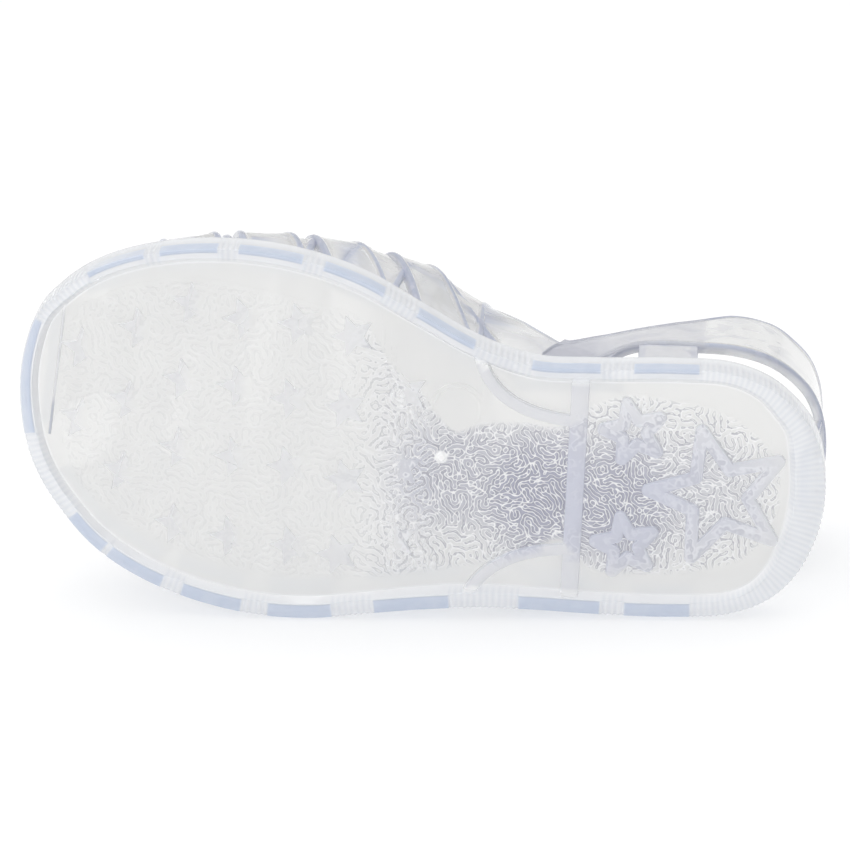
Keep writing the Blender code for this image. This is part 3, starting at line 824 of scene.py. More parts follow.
def finish_mesh(obj, name):
    """Name the piece, keep its largest shell alone and shade it smooth by angle."""
    obj.name = name
    obj.data.name = name
    edit = bmesh.new()
    edit.from_mesh(obj.data)
    bmesh.ops.remove_doubles(edit, verts=edit.verts, dist=MERGE_GAP)
    edit.verts.ensure_lookup_table()
    seen = set()
    shells = []
    for vert in edit.verts:
        if vert.index in seen:
            continue
        shell = [vert]
        seen.add(vert.index)
        for member in shell:
            for edge in member.link_edges:
                other = edge.other_vert(member)
                if other.index not in seen:
                    seen.add(other.index)
                    shell.append(other)
        shells.append(shell)
    shells.sort(key=len)
    loose = [vert for shell in shells[:-1] for vert in shell]
    bmesh.ops.delete(edit, geom=loose, context="VERTS")
    edit.to_mesh(obj.data)
    edit.free()
    activate(obj)
    bpy.ops.object.shade_smooth_by_angle(angle=math.radians(SMOOTH_ANGLE))


def add_mask(obj, name, values):
    """Store one number per point for the material to read."""
    layer = obj.data.attributes.new(name, "FLOAT", "POINT")
    layer.data.foreach_set("value", np.asarray(values, np.float32))


def mesh_points(obj):
    """Points of a mesh as rows."""
    spots = np.zeros(len(obj.data.vertices) * 3)
    obj.data.vertices.foreach_get("co", spots)
    return spots.reshape(-1, 3)


def outsole_masks(sole):
    """Where strap feet show in the rim, with a painted shadow line at their inner edge, where lugs stand,
    where the winding ridges run, where the inner wall gets painted light and where lavender shade is painted
    into the tread.
    """
    spots = mesh_points(sole)
    x, y, z = spots.T
    tree = KDTree(len(SOLE_LOOP))
    for k, spot in enumerate(SOLE_LOOP):
        tree.insert((spot[0], spot[1], 0.0), k)
    tree.balance()
    nearest = np.array([tree.find((a, b, 0.0))[1:] for a, b in spots[:, :2]])
    index = nearest[:, 0].astype(int)
    inset = nearest[:, 1]
    height = z - spring(x)
    width = RIM[index]
    rim = 1 - ease(inset, width - 0.1, width + 0.3)
    under = tread_floor(x) - z
    panel = ease(inset, width + 0.5, width + 0.8) * ease(under, -0.2, 0.0)
    front = np.clip(SOLE_OUT[index, 0], 0.0, 1.0)
    reach = REACH[index]
    patch = 1 - ease(inset, reach + 0.02, reach + 0.18)
    patch = patch * (1 - ease(height, PATCH_HEIGHT - 0.18, PATCH_HEIGHT - 0.02))
    patch = patch * ease(inset - PATCH_TOE_INSET * front, -0.3, 0.0)
    add_mask(sole, "foot_patch", PATCHES[index] * patch)
    # Painted shadow: a thin dark line at the inner edge of each strap foot patch, low in the rim
    edge = np.exp(-((inset - reach) / 0.1) ** 2) * (height < 0.2)
    add_mask(sole, "patch_shadow_line", PATCHES[index] * edge)
    add_mask(sole, "rim", rim)
    # Painted light: brightens the inner wall of the rim, which faces away from the lamps
    add_mask(sole, "wall_painted_light", (1 - ease(inset, width + 0.85, width + 1.1)) * (height < SOLE_HEIGHT / 2))
    add_mask(sole, "flute", rim * FLUTES[index] * (1 - ease(height, PATCH_HEIGHT, PATCH_HEIGHT + 3.0)))
    forefoot = ease(x, -3.0, 1.0)
    lug = ease(under, 0.36, 0.44) * (1 - forefoot) + SMALL_STAR_TONE * ease(under, 0.13, 0.22) * forefoot
    add_mask(sole, "lug", panel * lug)
    line = np.array(TOE_LINE)
    along = line[1] - line[0]
    off = np.abs(along[0] * (y - line[0, 1]) - along[1] * (x - line[0, 0])) / np.linalg.norm(along)
    toe_line = (1 - ease(off, TOE_LINE_WIDTH / 2, TOE_LINE_WIDTH / 2 + 0.15)) * ease(under, 0.05, 0.15)
    toe_line = toe_line * (0.15 + 0.6 * (1 - ease(y, 0.5, 2.5)))
    add_mask(sole, "toe_line", toe_line * panel * (np.abs(x - line[:, 0].mean()) < 4.0))
    field = texture_field(x, y)
    field = field * ease(field, 0.1, 0.35)
    add_mask(sole, "winding", winding(x, y))
    add_mask(sole, "field", panel * field * (1 - FOREFOOT_CALM * ease(x, 4.0, 16.0)))
    # Painted shade: soft lavender zones at waist and heel, for shade seen through the sole
    add_mask(sole, "painted_shade", panel * field * np.maximum.reduce([zone(x, y, *row) for row in PAINTED_SHADE_ZONES]))
    gate_x, gate_y, gate_radius = GATE_MARK
    gate = np.hypot(x - gate_x, y - gate_y)
    add_mask(sole, "gate", panel * (1 - ease(gate, gate_radius, gate_radius + 0.25)))


def zone(x, y, middle_x, middle_y, half_long, half_wide, strength):
    """A soft oval zone of the tread, full over most of its width."""
    away = ((x - middle_x) / half_long) ** 2 + ((y - middle_y) / half_wide) ** 2
    return strength * np.exp(-0.7 * away ** 2)


def foot_edges():
    """Lines of the strap feet on the foot bed, inner and outer, toward the toe."""
    loop = inset_loop(STRAP_INSET)
    inner = loop[:SIDE_POINTS][::-1]
    outer = np.concatenate([loop[SIDE_POINTS - 1:], loop[:1]])
    return loop, inner, outer


FOOT_LOOP, INNER_EDGE, OUTER_EDGE = foot_edges()


def last_point(x, turn, sink):
    """Point of the last at a distance along the foot; turn runs from the inner foot over the ridge."""
    inner = np.interp(x, INNER_EDGE[:, 0], INNER_EDGE[:, 1])
    outer = np.interp(x, OUTER_EDGE[:, 0], OUTER_EDGE[:, 1])
    ridge, shift, inner_bulge, outer_bulge = [float(smooth(LAST, c, x)) for c in (1, 2, 3, 4)]
    across = math.cos(turn)
    up = max(math.sin(turn), 0.0) ** (2 / LAST_POWER)
    across = math.copysign(abs(across) ** (2 / LAST_POWER), across)
    bulge = inner_bulge if turn < math.pi / 2 else outer_bulge
    y = (inner + outer) / 2 + ((inner - outer) / 2 - sink) * across
    y += shift * up + bulge * math.sin(2 * turn)
    return np.array([x, y, float(foot_level(x)) + (ridge - sink) * up])


def last_normal(x, turn, sink):
    """Outward normal of the last."""
    step = 0.02
    low = max(turn - step, 0.0)
    high = min(turn + step, math.pi)
    around = last_point(x, high, sink) - last_point(x, low, sink)
    along = last_point(x + step, turn, sink) - last_point(x - step, turn, sink)
    normal = np.cross(around, along)
    return normal / np.linalg.norm(normal)


def strap_profile(half, bead):
    """Section of a strap: soft corners, flat inside, a round bead along both edges up to a height outside."""
    # distance in from the edge, height over the strap's middle
    side = [
        (0.5, -STRAP_PANEL),
        (0.2, -STRAP_PANEL + 0.05),
        (0.05, -STRAP_PANEL + 0.2),
        (0.0, -STRAP_PANEL + 0.45),
        (0.0, STRAP_BEAD * 0.35),
        (0.08, STRAP_BEAD * 0.65),
        (0.28, STRAP_BEAD * 0.87),
        (0.58, STRAP_BEAD * 0.98),
        (0.85, STRAP_BEAD),
        (1.15, STRAP_BEAD * 0.97),
        (1.45, STRAP_BEAD * 0.87),
        (1.75, STRAP_BEAD * 0.7),
        (2.05, STRAP_PANEL + 0.06),
        (2.5, STRAP_PANEL),
    ]
    side = [(a, min(n, bead)) for a, n in side]
    return [(-half + a, n) for a, n in side] + [(half - a, n) for a, n in reversed(side)]


def close_sweep(rings, name):
    """A solid swept through rings of equal count."""
    count = len(rings[0])
    points = [p for ring in rings for p in ring]
    last = (len(rings) - 1) * count
    faces = [tuple(range(count)), tuple(range(last, last + count))]
    for k in range(len(rings) - 1):
        faces.extend(ring_faces(k * count, (k + 1) * count, count))
    return mesh_object(name, points, faces)


def sweep_strap(spots, normals, widths, lift, plant_start, plant_end, bead=STRAP_BEAD):
    """Rings of a strap along spots; planted ends are cut level with the foot bed."""
    run = np.gradient(spots, axis=0)
    run = run / np.linalg.norm(run, axis=1)[:, None]
    rings = []
    for k, spot in enumerate(spots):
        side = np.cross(normals[k], run[k])
        side = side / np.linalg.norm(side)
        out = np.cross(run[k], side)
        ring = [spot + side * a + out * n for a, n in strap_profile(widths[k] / 2, bead)]
        if (k == 0 and plant_start) or (k == len(spots) - 1 and plant_end):
            ring = [p + run[k] * (float(foot_level(p[0])) + lift - p[2]) / run[k][2] for p in ring]
        rings.append(ring)
    return rings


def lean_share(share, early, late):
    """How far a strap has run along the foot at a share of its way over the ridge."""
    return share + early * share * (1 - share) ** 2 + late * share ** 2 * (1 - share)


def crossing_strap(row, lift, from_inner):
    """Rings of one strap from one foot over the ridge to the other, none lower than its planted feet."""
    start_foot, end_foot, early, late, sink, extra = row
    shares = np.linspace(0.0, 1.0, STRAP_STEPS)
    turns = shares * math.pi if from_inner else (1 - shares) * math.pi
    along = start_foot + (end_foot - start_foot) * lean_share(shares, early, late)
    spots = np.array([last_point(x, t, sink) for x, t in zip(along, turns)])
    normals = np.array([last_normal(x, t, sink) for x, t in zip(along, turns)])
    widths = RIDGE_WIDTH + (BASE_WIDTH - RIDGE_WIDTH) * np.abs(np.cos(turns)) ** WIDTH_POWER
    rings = sweep_strap(spots, normals, widths + extra, lift, True, True)
    inside = [ring for ring in rings[1:-1] if all(p[2] > foot_level(p[0]) + lift for p in ring)]
    return [rings[0]] + inside + [rings[-1]]


def toe_edge(y):
    """How far the line of the strap feet reaches toward the toe at a place across the foot."""
    front = FOOT_LOOP[FOOT_LOOP[:, 0] > TOE_END[0]]
    front = front[np.argsort(front[:, 1])]
    return np.interp(y, front[:, 1], front[:, 0])


def toe_strap():
    """Rings of the wide strap that closes the toe, its foot bent to the line of the strap feet."""
    turns = np.linspace(0.0, math.pi / 2, TOE_STEPS)
    tip = float(toe_edge(TOE_FOOT))
    base = float(foot_level(tip))
    top = last_point(TOE_END[0], math.pi / 2, 0.0)[2]
    x = TOE_END[0] + (tip - TOE_END[0]) * np.cos(turns) ** (2 / LAST_POWER)
    y = TOE_END[1] + (TOE_FOOT - TOE_END[1]) * np.cos(turns)
    z = base + (top - base) * np.sin(turns) ** (2 / LAST_POWER)
    spots = np.column_stack([x, y, z])
    run = np.gradient(spots, axis=0)
    normals = np.column_stack([run[:, 2], np.zeros(TOE_STEPS), -run[:, 0]])
    widths = TOE_WIDTHS[1] + (TOE_WIDTHS[0] - TOE_WIDTHS[1]) * np.cos(turns)
    rings = sweep_strap(spots, normals, widths, 2 * FOOT_LIFT, True, False)
    bent = []
    for turn, ring in zip(turns, rings):
        bent.append([p + np.array([(toe_edge(p[1]) - tip) * math.cos(turn), 0.0, 0.0]) for p in ring])
    return bent


BAND_LOOP = inset_loop(BAND_INSET)


def band_path():
    """Plan path of the heel band with outward normals, from inner front round the heel to outer front."""
    keep = BAND_LOOP[:, 0] <= BAND[0][0]
    both = np.hstack([BAND_LOOP[keep], SOLE_OUT[keep]])
    even = even_steps(both, BAND_STEPS)
    out = even[:, 2:]
    return even[:, :2], out / np.linalg.norm(out, axis=1)[:, None]


def band_lean(height, normal):
    """How far the heel band leans inward at a height over its foot; at the back of the heel it leans out."""
    share = height / BAND_FULL_HEIGHT
    rear = BAND_REAR * max(-float(normal[0]), 0.0)
    return BAND_LEAN * share ** 2 - BAND_BULGE * math.sin(math.pi * min(share, 1.0)) - rear * share


def heel_band():
    """Rings of the quarter and heel band."""
    path, out = band_path()
    rings = []
    for spot, normal in zip(path, out):
        low = float(smooth(BAND, 1, spot[0]))
        high = float(smooth(BAND, 2, spot[0]))
        ring = []
        for a, n in strap_profile((high - low) / 2, STRAP_BEAD):
            height = (low + high) / 2 + a
            reach = n - band_lean(height, normal)
            ring.append((*(spot + normal * reach), float(foot_level(spot[0])) + height))
        rings.append(ring)
    return rings


def wall_foot(start, end, out_start, out_end, height, width):
    """Rings of an upright foot that joins the band to the sole."""
    shares = np.linspace(0.0, 1.0, FOOT_STEPS)
    spots = []
    normals = []
    for share in shares:
        plan = np.array(start) + (np.array(end) - np.array(start)) * share ** FOOT_TURN
        normal = np.array(out_start) + (np.array(out_end) - np.array(out_start)) * share
        normal = normal / np.linalg.norm(normal)
        plan = plan - normal * (band_lean(height * share, normal) + FOOT_LIFT)
        spots.append((*plan, float(foot_level(plan[0])) + height * share))
        normals.append((*normal, 0.0))
    widths = np.full(FOOT_STEPS, width)
    return sweep_strap(np.array(spots), np.array(normals), widths, 0.0, True, False, STRAP_PANEL)


def band_spot(x, inner_side):
    """Plan point and outward normal of the band at a distance along the foot."""
    rows = slice(0, SIDE_POINTS) if inner_side else slice(SIDE_POINTS - 1, len(BAND_LOOP))
    loop = BAND_LOOP[rows]
    out = SOLE_OUT[rows]
    order = np.argsort(loop[:, 0])
    xs = loop[order, 0]
    spot = (x, float(np.interp(x, xs, loop[order, 1])))
    normal = [float(np.interp(x, xs, out[order, c])) for c in (0, 1)]
    return spot, normal


def strap_sweeps():
    """Rings of every strap of the cage, the heel band first."""
    sweeps = [heel_band()]
    for inner_side in (True, False):
        for low_x, high_x, height, width in QUARTER_FEET:
            start, out_start = band_spot(low_x, inner_side)
            end, out_end = band_spot(high_x, inner_side)
            sweeps.append(wall_foot(start, end, out_start, out_end, height, width))
    heel = BAND_LOOP[SIDE_POINTS - 1] + (STAY_INSET, 0.0)
    sweeps.append(wall_foot(heel, heel, (-1.0, 0.0), (-1.0, 0.0), STAY_HEIGHT, STAY_WIDTH))
    for table, from_inner, lift in ((OVER_STRAPS, True, FOOT_LIFT), (UNDER_STRAPS, False, 2 * FOOT_LIFT)):
        for row in table:
            sweeps.append(crossing_strap(row, lift, from_inner))
    sweeps.append(toe_strap())
    return sweeps


def build_upper():
    """The strap cage, joined strap by strap into one solid."""
    straps = [close_sweep(rings, "strap") for rings in SWEEPS]
    join_solids(straps[0], straps[1:])
    return straps[0]


SWEEPS = strap_sweeps()


def strap_lines(column):
    """Close points along one line of the strap section and its mirror, on every strap."""
    lines = []
    for rings in SWEEPS:
        rings = np.array(rings, float)
        for place in (column, rings.shape[1] - 1 - column):
            line = rings[:, place]
            for share in np.linspace(0.0, 1.0, 4, endpoint=False):
                lines.extend(line[:-1] * (1 - share) + line[1:] * share)
    return lines


def distance_to(marks, spots):
    """How far each spot is from the nearest of the marks."""
    tree = KDTree(len(marks))
    for k, mark in enumerate(marks):
        tree.insert(mark, k)
    tree.balance()
    return np.array([tree.find(spot)[2] for spot in spots])


def upper_masks(upper):
    """Where beads run along the straps, where shade is painted along their side edges and where the strap
    feet stand on the sole.
    """
    spots = mesh_points(upper)
    feet = [spot for rings in SWEEPS[1:1 + 2 * len(QUARTER_FEET)] for ring in rings for spot in ring]
    quarter = 1 - ease(distance_to(feet, spots), 0.1, 0.4)
    low = 1 - ease(spots[:, 2] - foot_level(spots[:, 0]), 14.0, 17.0)
    front = 0.5 * ease(spots[:, 0], -50.2, -49.2) + 0.3 * ease(spots[:, 0], -40.0, -31.0) * low
    on_quarter = 1 - ease(spots[:, 0], -20.5, -19.5)
    quarter = np.maximum(0.5 * quarter, front * on_quarter)
    add_mask(upper, "quarter", quarter)
    bead = 1 - ease(distance_to(strap_lines(BEAD_POINT), spots), *BEAD_FADE)
    add_mask(upper, "bead", bead * (1 - quarter))
    # Painted shade: darker side edges of the straps, where clear plastic turns away from the eye
    edge = distance_to(strap_lines(EDGE_POINT), spots)
    add_mask(upper, "painted_edge_shade", 1 - ease(edge, *EDGE_FADE))
    add_mask(upper, "base", 1 - ease(spots[:, 2] - foot_level(spots[:, 0]), 0.9, 1.6))


class Wire:
    """One output of a node tree; sums and products of wires add the Math nodes they need."""

    def __init__(self, tree, socket):
        self.tree = tree
        self.socket = socket

    @classmethod
    def node(cls, tree, kind, settings, sockets, output=0):
        """Add a node: its settings first, then the values or wires of its sockets."""
        made = tree.nodes.new(kind)
        for name, value in settings.items():
            setattr(made, name, value)
        for name, value in sockets.items():
            if isinstance(value, Wire):
                tree.links.new(value.socket, made.inputs[name])
            else:
                made.inputs[name].default_value = value
        return cls(tree, made.outputs[output])

    def math(self, operation, first, second):
        return Wire.node(self.tree, "ShaderNodeMath", {"operation": operation}, {0: first, 1: second})

    def __add__(self, other):
        return self.math("ADD", self, other)

    def __radd__(self, other):
        return self.math("ADD", other, self)

    def __sub__(self, other):
        return self.math("SUBTRACT", self, other)

    def __rsub__(self, other):
        return self.math("SUBTRACT", other, self)

    def __mul__(self, other):
        return self.math("MULTIPLY", self, other)

    def __rmul__(self, other):
        return self.math("MULTIPLY", other, self)


def mask(tree, name):
    """A number stored on the points of the mesh."""
    return Wire.node(tree, "ShaderNodeAttribute", {"attribute_name": name}, {}, "Fac")


def tint(tree, share, first, second):
    """Mix two colours, or a colour and a wire, by a share."""
    return Wire.node(tree, "ShaderNodeMix", {"data_type": "RGBA", "clamp_factor": True},
                     {0: share, 6: first, 7: second}, 2)


def cloud(tree, scale, detail):
    """Soft noise over the piece."""
    place = Wire.node(tree, "ShaderNodeTexCoord", {}, {}, "Object")
    return Wire.node(tree, "ShaderNodeTexNoise", {},
                     {"Vector": place, "Scale": scale, "Detail": detail}, "Fac")


def clear_material(name, colour, milk, share, rough, bump):
    """Soft plastic that is partly clear and partly milky, and lets lamp light through to the floor."""
    material = bpy.data.materials.new(name)
    material.use_nodes = True
    tree = material.node_tree
    tree.nodes.clear()
    uneven = bump(tree)
    gloss = rough(tree)
    clear = Wire.node(tree, "ShaderNodeBsdfPrincipled", {}, {
        "Base Color": colour(tree),
        "Roughness": gloss,
        "Normal": uneven,
        "IOR": PLASTIC_IOR,
        "Transmission Weight": 1.0,
    })
    cloudy = Wire.node(tree, "ShaderNodeBsdfPrincipled", {}, {
        "Base Color": milk(tree),
        "Roughness": gloss,
        "Normal": uneven,
        "IOR": PLASTIC_IOR,
    })
    body = Wire.node(tree, "ShaderNodeMixShader", {}, {0: share(tree), 1: clear, 2: cloudy})
    passing = Wire.node(tree, "ShaderNodeBsdfTransparent", {}, {"Color": PASSING_LIGHT})
    shadow = Wire.node(tree, "ShaderNodeLightPath", {}, {}, "Is Shadow Ray")
    spread = Wire.node(tree, "ShaderNodeLightPath", {}, {}, "Is Diffuse Ray")
    open_body = Wire.node(tree, "ShaderNodeMixShader", {}, {0: OPEN_SHARE, 1: body, 2: passing})
    soft = Wire.node(tree, "ShaderNodeMixShader", {}, {0: spread, 1: body, 2: open_body})
    both = Wire.node(tree, "ShaderNodeMixShader", {}, {0: shadow, 1: soft, 2: passing})
    output = tree.nodes.new("ShaderNodeOutputMaterial")
    tree.links.new(both.socket, output.inputs["Surface"])
    return material


PLASTIC_IOR = 1.5
PASSING_LIGHT = (0.97, 0.975, 0.985, 1.0)
OPEN_SHARE = 0.75
CLEAR_SOLE = (0.95, 0.955, 0.965, 1.0)
CLEAR_FOOT = (0.84, 0.88, 0.96, 1.0)
CLEAR_STRAP = (0.93, 0.945, 0.975, 1.0)
CLEAR_PALE = (0.965, 0.965, 0.97, 1.0)
MILK_IVORY = (0.775, 0.77, 0.75, 1.0)
# Painted shade: lavender tone of the tread at waist and heel
MILK_PAINTED_SHADE = (0.31, 0.315, 0.40, 1.0)
# Painted light: highlight lines along the winding ridges and a lift on the shaded inner wall of the rim
MILK_PAINTED_LIGHT = (0.88, 0.88, 0.88, 1.0)
MILK_LUG = (0.55, 0.565, 0.65, 1.0)
MILK_RIM = (0.79, 0.80, 0.82, 1.0)
MILK_FLUTE = (0.71, 0.73, 0.775, 1.0)
MILK_PATCH = (0.52, 0.58, 0.70, 1.0)
# Painted shadow beside the winding ridges
MILK_PAINTED_SHADOW = (0.28, 0.28, 0.33, 1.0)
MILK_GATE = (0.90, 0.90, 0.90, 1.0)
# Dark seam line at the toe, also used for the painted shadow line at the strap foot patches
MILK_LINE = (0.36, 0.39, 0.46, 1.0)
MILK_STRAP = (0.79, 0.785, 0.765, 1.0)
MILK_BEAD = (0.36, 0.40, 0.53, 1.0)
MILK_QUARTER = (0.40, 0.41, 0.48, 1.0)
MILK_BASE = (0.62, 0.69, 0.80, 1.0)
# Painted shade along the side edges of the straps
MILK_PAINTED_EDGE_SHADE = (0.26, 0.29, 0.41, 1.0)
MILK_STREAK = (0.40, 0.41, 0.49, 1.0)
LINE_WIDTH = 0.62
LINE_PATTERN = 0.85
LINE_WANDER = 3.4
LINE_SCALE = 1000.0
# Shift and strength of the painted shadow lines beside the ridges
SHADOW_LINE_SHIFT = 0.8
SHADOW_LINE_TONE = 0.65
LUG_PALE = 0.45


def band(tree, value):
    """1 where a value is at 0, falling softly to 0 on both sides."""
    return Wire.node(tree, "ShaderNodeMapRange", {"interpolation_type": "SMOOTHSTEP"},
                     {0: value.math("ABSOLUTE", value, 0.0), 1: 0.0, 2: LINE_WIDTH, 3: 1.0, 4: 0.0})


def sole_clear(tree):
    """Tint of the clear share of the sole: bluer where strap feet sit in the rim."""
    return tint(tree, mask(tree, "foot_patch"), CLEAR_SOLE, CLEAR_FOOT)


def sole_milk(tree):
    """Ivory panel with lavender shade painted in at waist and heel, painted highlight lines along the winding
    ridges and painted shadow lines beside them, blue lugs and strap feet; the lugs are darker where shade is
    painted.
    """
    # Painted shade: lavender tone over the panel at waist and heel
    shaded_panel = tint(tree, mask(tree, "painted_shade"), MILK_IVORY, MILK_PAINTED_SHADE)
    bends = LINE_PATTERN * mask(tree, "winding") + LINE_WANDER * (cloud(tree, LINE_SCALE, 0.5) - 0.5)
    # Painted shadow: dark lines beside the ridges, on their valley side
    shadow_line = SHADOW_LINE_TONE * band(tree, bends + SHADOW_LINE_SHIFT) * mask(tree, "field")
    line_shadowed = tint(tree, shadow_line, shaded_panel, MILK_PAINTED_SHADOW)
    # Painted highlight: pale lines along the crests of the winding ridges
    highlit = tint(tree, band(tree, bends) * mask(tree, "field"), line_shadowed, MILK_PAINTED_LIGHT)
    # Lugs stay paler outside the painted shade zones and darken inside them
    tone = mask(tree, "lug") * (LUG_PALE + (1 - LUG_PALE) * mask(tree, "painted_shade"))
    lugs = tint(tree, tone * (0.8 + 0.4 * cloud(tree, 500.0, 2.0)), highlit, MILK_LUG)
    gate = tint(tree, mask(tree, "gate"), lugs, MILK_GATE)
    line = tint(tree, mask(tree, "toe_line"), gate, MILK_LINE)
    # Painted light over the shaded inner wall of the rim
    wall_lit = tint(tree, mask(tree, "wall_painted_light"), line, MILK_PAINTED_LIGHT)
    rim = tint(tree, mask(tree, "rim"), wall_lit, MILK_RIM)
    fluted = tint(tree, mask(tree, "flute"), rim, MILK_FLUTE)
    patch = mask(tree, "foot_patch") * (0.65 + 0.6 * cloud(tree, 260.0, 3.0))
    patched = tint(tree, patch, fluted, MILK_PATCH)
    # Painted shadow line along the inner edge of the strap foot patches
    return tint(tree, 0.45 * mask(tree, "patch_shadow_line"), patched, MILK_LINE)


def sole_share(tree):
    """How milky the sole is: the rim is clearer than the panel, strap feet and lugs are denser, and so is the
    tread where shade is painted.
    """
    # Denser where shade is painted into the tread
    panel = 0.66 + 0.2 * mask(tree, "painted_shade")
    rim = mask(tree, "rim")
    base = panel * (1 - rim) + 0.62 * rim
    dense = mask(tree, "foot_patch") * 0.28 + mask(tree, "lug") * 0.15 + mask(tree, "toe_line") * 0.3
    return base + dense


def sole_rough(tree):
    """Glossy plastic, frosted on the lugs, a little uneven."""
    return 0.14 + 0.22 * mask(tree, "lug") + 0.08 * cloud(tree, 180.0, 2.0)


def sole_bump(tree):
    """The slight unevenness of the mould."""
    return Wire.node(tree, "ShaderNodeBump", {},
                     {"Height": cloud(tree, 420.0, 3.0), "Strength": 0.06, "Distance": 0.0005})


def strap_clear(tree):
    """Pale blue plastic, clearer in places."""
    return tint(tree, cloud(tree, 60.0, 2.0), CLEAR_STRAP, CLEAR_PALE)


def streak(tree):
    """Long flow streaks in the straps."""
    place = Wire.node(tree, "ShaderNodeTexCoord", {}, {}, "Object")
    drawn = Wire.node(tree, "ShaderNodeMapping", {}, {"Vector": place, "Scale": (0.8, 1.0, 0.5)})
    flow = Wire.node(tree, "ShaderNodeTexNoise", {},
                     {"Vector": drawn, "Scale": 110.0, "Detail": 1.0, "Distortion": 2.4}, "Fac")
    return Wire.node(tree, "ShaderNodeMapRange", {"interpolation_type": "SMOOTHSTEP"},
                     {0: flow, 1: 0.54, 2: 0.64, 3: 0.0, 4: 1.0})


def strap_milk(tree):
    """Ivory straps with grey-blue beads, painted shade along their side edges and blue feet."""
    beads = tint(tree, mask(tree, "bead"), MILK_STRAP, MILK_BEAD)
    quarter = tint(tree, mask(tree, "quarter"), beads, MILK_QUARTER)
    streaked = tint(tree, 0.4 * streak(tree), quarter, MILK_STREAK)
    # Painted shade along the side edges of the straps
    edge_shaded = tint(tree, 0.5 * mask(tree, "painted_edge_shade"), streaked, MILK_PAINTED_EDGE_SHADE)
    return tint(tree, mask(tree, "base"), edge_shaded, MILK_BASE)


def strap_share(tree):
    """How milky the straps are: clear in the middle, denser along the beads and along the side edges where
    shade is painted, solid at the feet.
    """
    seams = 0.28 * mask(tree, "bead") + 0.3 * mask(tree, "quarter") + 0.45 * mask(tree, "base")
    # Denser along the side edges where shade is painted
    return 0.36 + seams + 0.15 * streak(tree) + 0.15 * mask(tree, "painted_edge_shade")


def strap_rough(tree):
    """Glossy, a little uneven."""
    return 0.06 + 0.05 * cloud(tree, 150.0, 2.0)


def strap_bump(tree):
    """Flow marks of the moulding."""
    return Wire.node(tree, "ShaderNodeBump", {},
                     {"Height": cloud(tree, 160.0, 2.0), "Strength": 0.05, "Distance": 0.0005})


outsole = build_outsole()
finish_mesh(outsole, "outsole_clear")
outsole_masks(outsole)
outsole.data.transform(REST)
outsole.data.materials.clear()
outsole.data.materials.append(clear_material("sole_plastic_clear", sole_clear, sole_milk, sole_share,
                                             sole_rough, sole_bump))

upper = build_upper()
finish_mesh(upper, "strap_cage_clear")
upper_masks(upper)
upper.data.transform(REST)
upper.data.materials.clear()
upper.data.materials.append(clear_material("strap_plastic_clear", strap_clear, strap_milk, strap_share,
                                           strap_rough, strap_bump))

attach(outsole, "root")
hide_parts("outsole")
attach(upper, "root")
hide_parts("upper")

# Floor, light and camera
FLOOR_SIZE = 8.0
FLOOR_COLOUR = (0.97, 0.97, 0.97, 1.0)
FLOOR_ROUGHNESS = 0.9
deselect()
bpy.ops.mesh.primitive_plane_add(size=FLOOR_SIZE, location=(0.0, 0.0, 0.0))
floor = bpy.context.object
floor.name = "pale_floor"
pale = bpy.data.materials.new("pale_floor")
pale.use_nodes = True
pale_shader = pale.node_tree.nodes["Principled BSDF"]
pale_shader.inputs["Base Color"].default_value = FLOOR_COLOUR
pale_shader.inputs["Roughness"].default_value = FLOOR_ROUGHNESS
floor.data.materials.append(pale)

world = bpy.data.worlds.new("studio")
world.use_nodes = True
bpy.context.scene.world = world
world.node_tree.nodes.clear()
side = Wire.node(world.node_tree, "ShaderNodeTexCoord", {}, {}, "Generated")
parts = Wire.node(world.node_tree, "ShaderNodeSeparateXYZ", {}, {0: side}, "Y")
share = Wire.node(world.node_tree, "ShaderNodeMapRange", {"interpolation_type": "SMOOTHSTEP"},
                  {0: parts, 1: -1.0, 2: 0.4, 3: 0.5, 4: 1.0})
glow = Wire.node(world.node_tree, "ShaderNodeBackground", {}, {"Strength": share})
world_out = world.node_tree.nodes.new("ShaderNodeOutputWorld")
world.node_tree.links.new(glow.socket, world_out.inputs["Surface"])


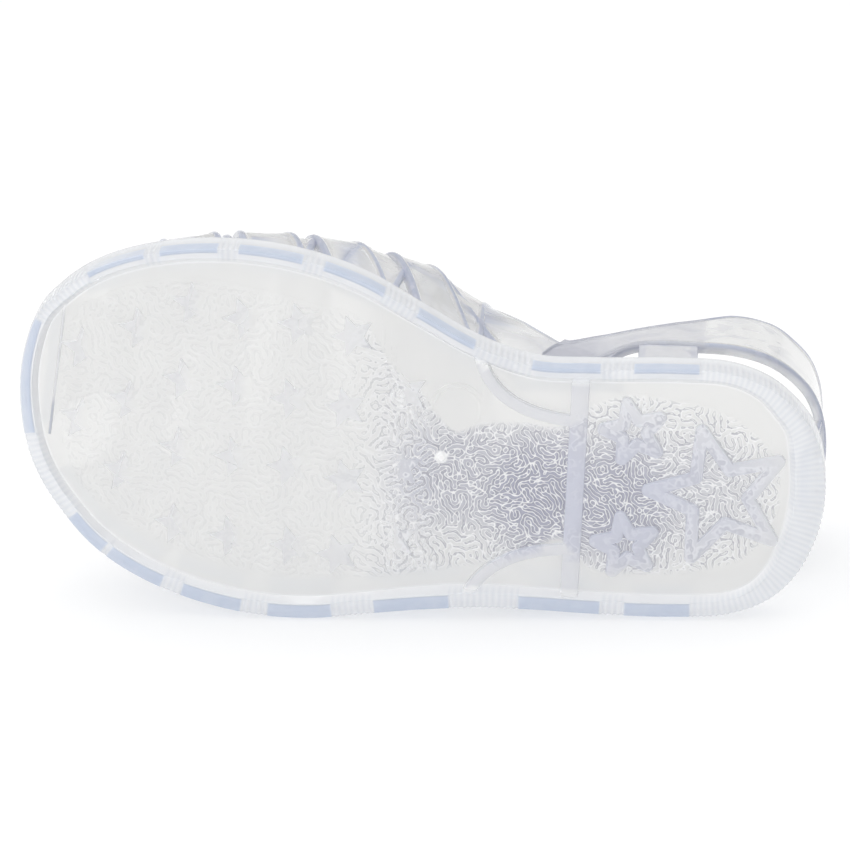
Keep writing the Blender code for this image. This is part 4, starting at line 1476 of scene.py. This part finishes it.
def soft_light(name, place, target, size, power):
    """A square soft light that points at a target."""
    light = bpy.data.lights.new(name, "AREA")
    light.shape = "SQUARE"
    light.size = size
    light.energy = power
    holder = bpy.data.objects.new(name, light)
    bpy.context.scene.collection.objects.link(holder)
    holder.location = place
    holder.rotation_euler = (Vector(target) - Vector(place)).to_track_quat("-Z", "Y").to_euler()


soft_light("top_light", (0.0, 0.3, 1.6), (0.0, 0.1, 0.0), 2.4, 13.0)
soft_light("key_light", (-0.7, -0.9, 0.9), (0.0, 0.0, 0.03), 0.7, 5.0)
soft_light("front_light", (0.1, -1.4, 0.3), (0.0, 0.0, 0.02), 1.0, 3.6)

# Camera: tilt and yaw against the sole, distance in millimetres, picture points per millimetre
VIEW_TILT = math.radians(18.0)
VIEW_YAW = math.radians(3.5)
VIEW_DISTANCE = 900.0
VIEW_SCALE = 5.60
PICTURE = 850.0
SENSOR = 36.0

ahead = Vector((math.sin(VIEW_YAW), 0.0, math.cos(VIEW_YAW)))
aside = Vector((-math.cos(VIEW_YAW), 0.0, math.sin(VIEW_YAW)))
inward = Vector((0.0, 1.0, 0.0))
look = ahead * math.cos(VIEW_TILT) - inward * math.sin(VIEW_TILT)
above = inward * math.cos(VIEW_TILT) + ahead * math.sin(VIEW_TILT)
turn = REST.to_3x3().normalized()
camera_data = bpy.data.cameras.new("camera")
camera_data.sensor_width = SENSOR
camera_data.lens = SENSOR * VIEW_DISTANCE * VIEW_SCALE / PICTURE
camera = bpy.data.objects.new("camera", camera_data)
bpy.context.scene.collection.objects.link(camera)
axes = Matrix((turn @ aside, turn @ above, turn @ -look)).transposed()
camera.matrix_world = Matrix.Translation(REST @ (look * -VIEW_DISTANCE)) @ axes.to_4x4()
bpy.context.scene.camera = camera

settings = bpy.context.scene
settings.view_settings.view_transform = "Standard"
settings.cycles.max_bounces = 24
settings.cycles.transmission_bounces = 24
settings.cycles.glossy_bounces = 8
settings.cycles.diffuse_bounces = 3
settings.cycles.transparent_max_bounces = 24
settings.cycles.caustics_reflective = False
settings.cycles.caustics_refractive = False
settings.cycles.use_denoising = True
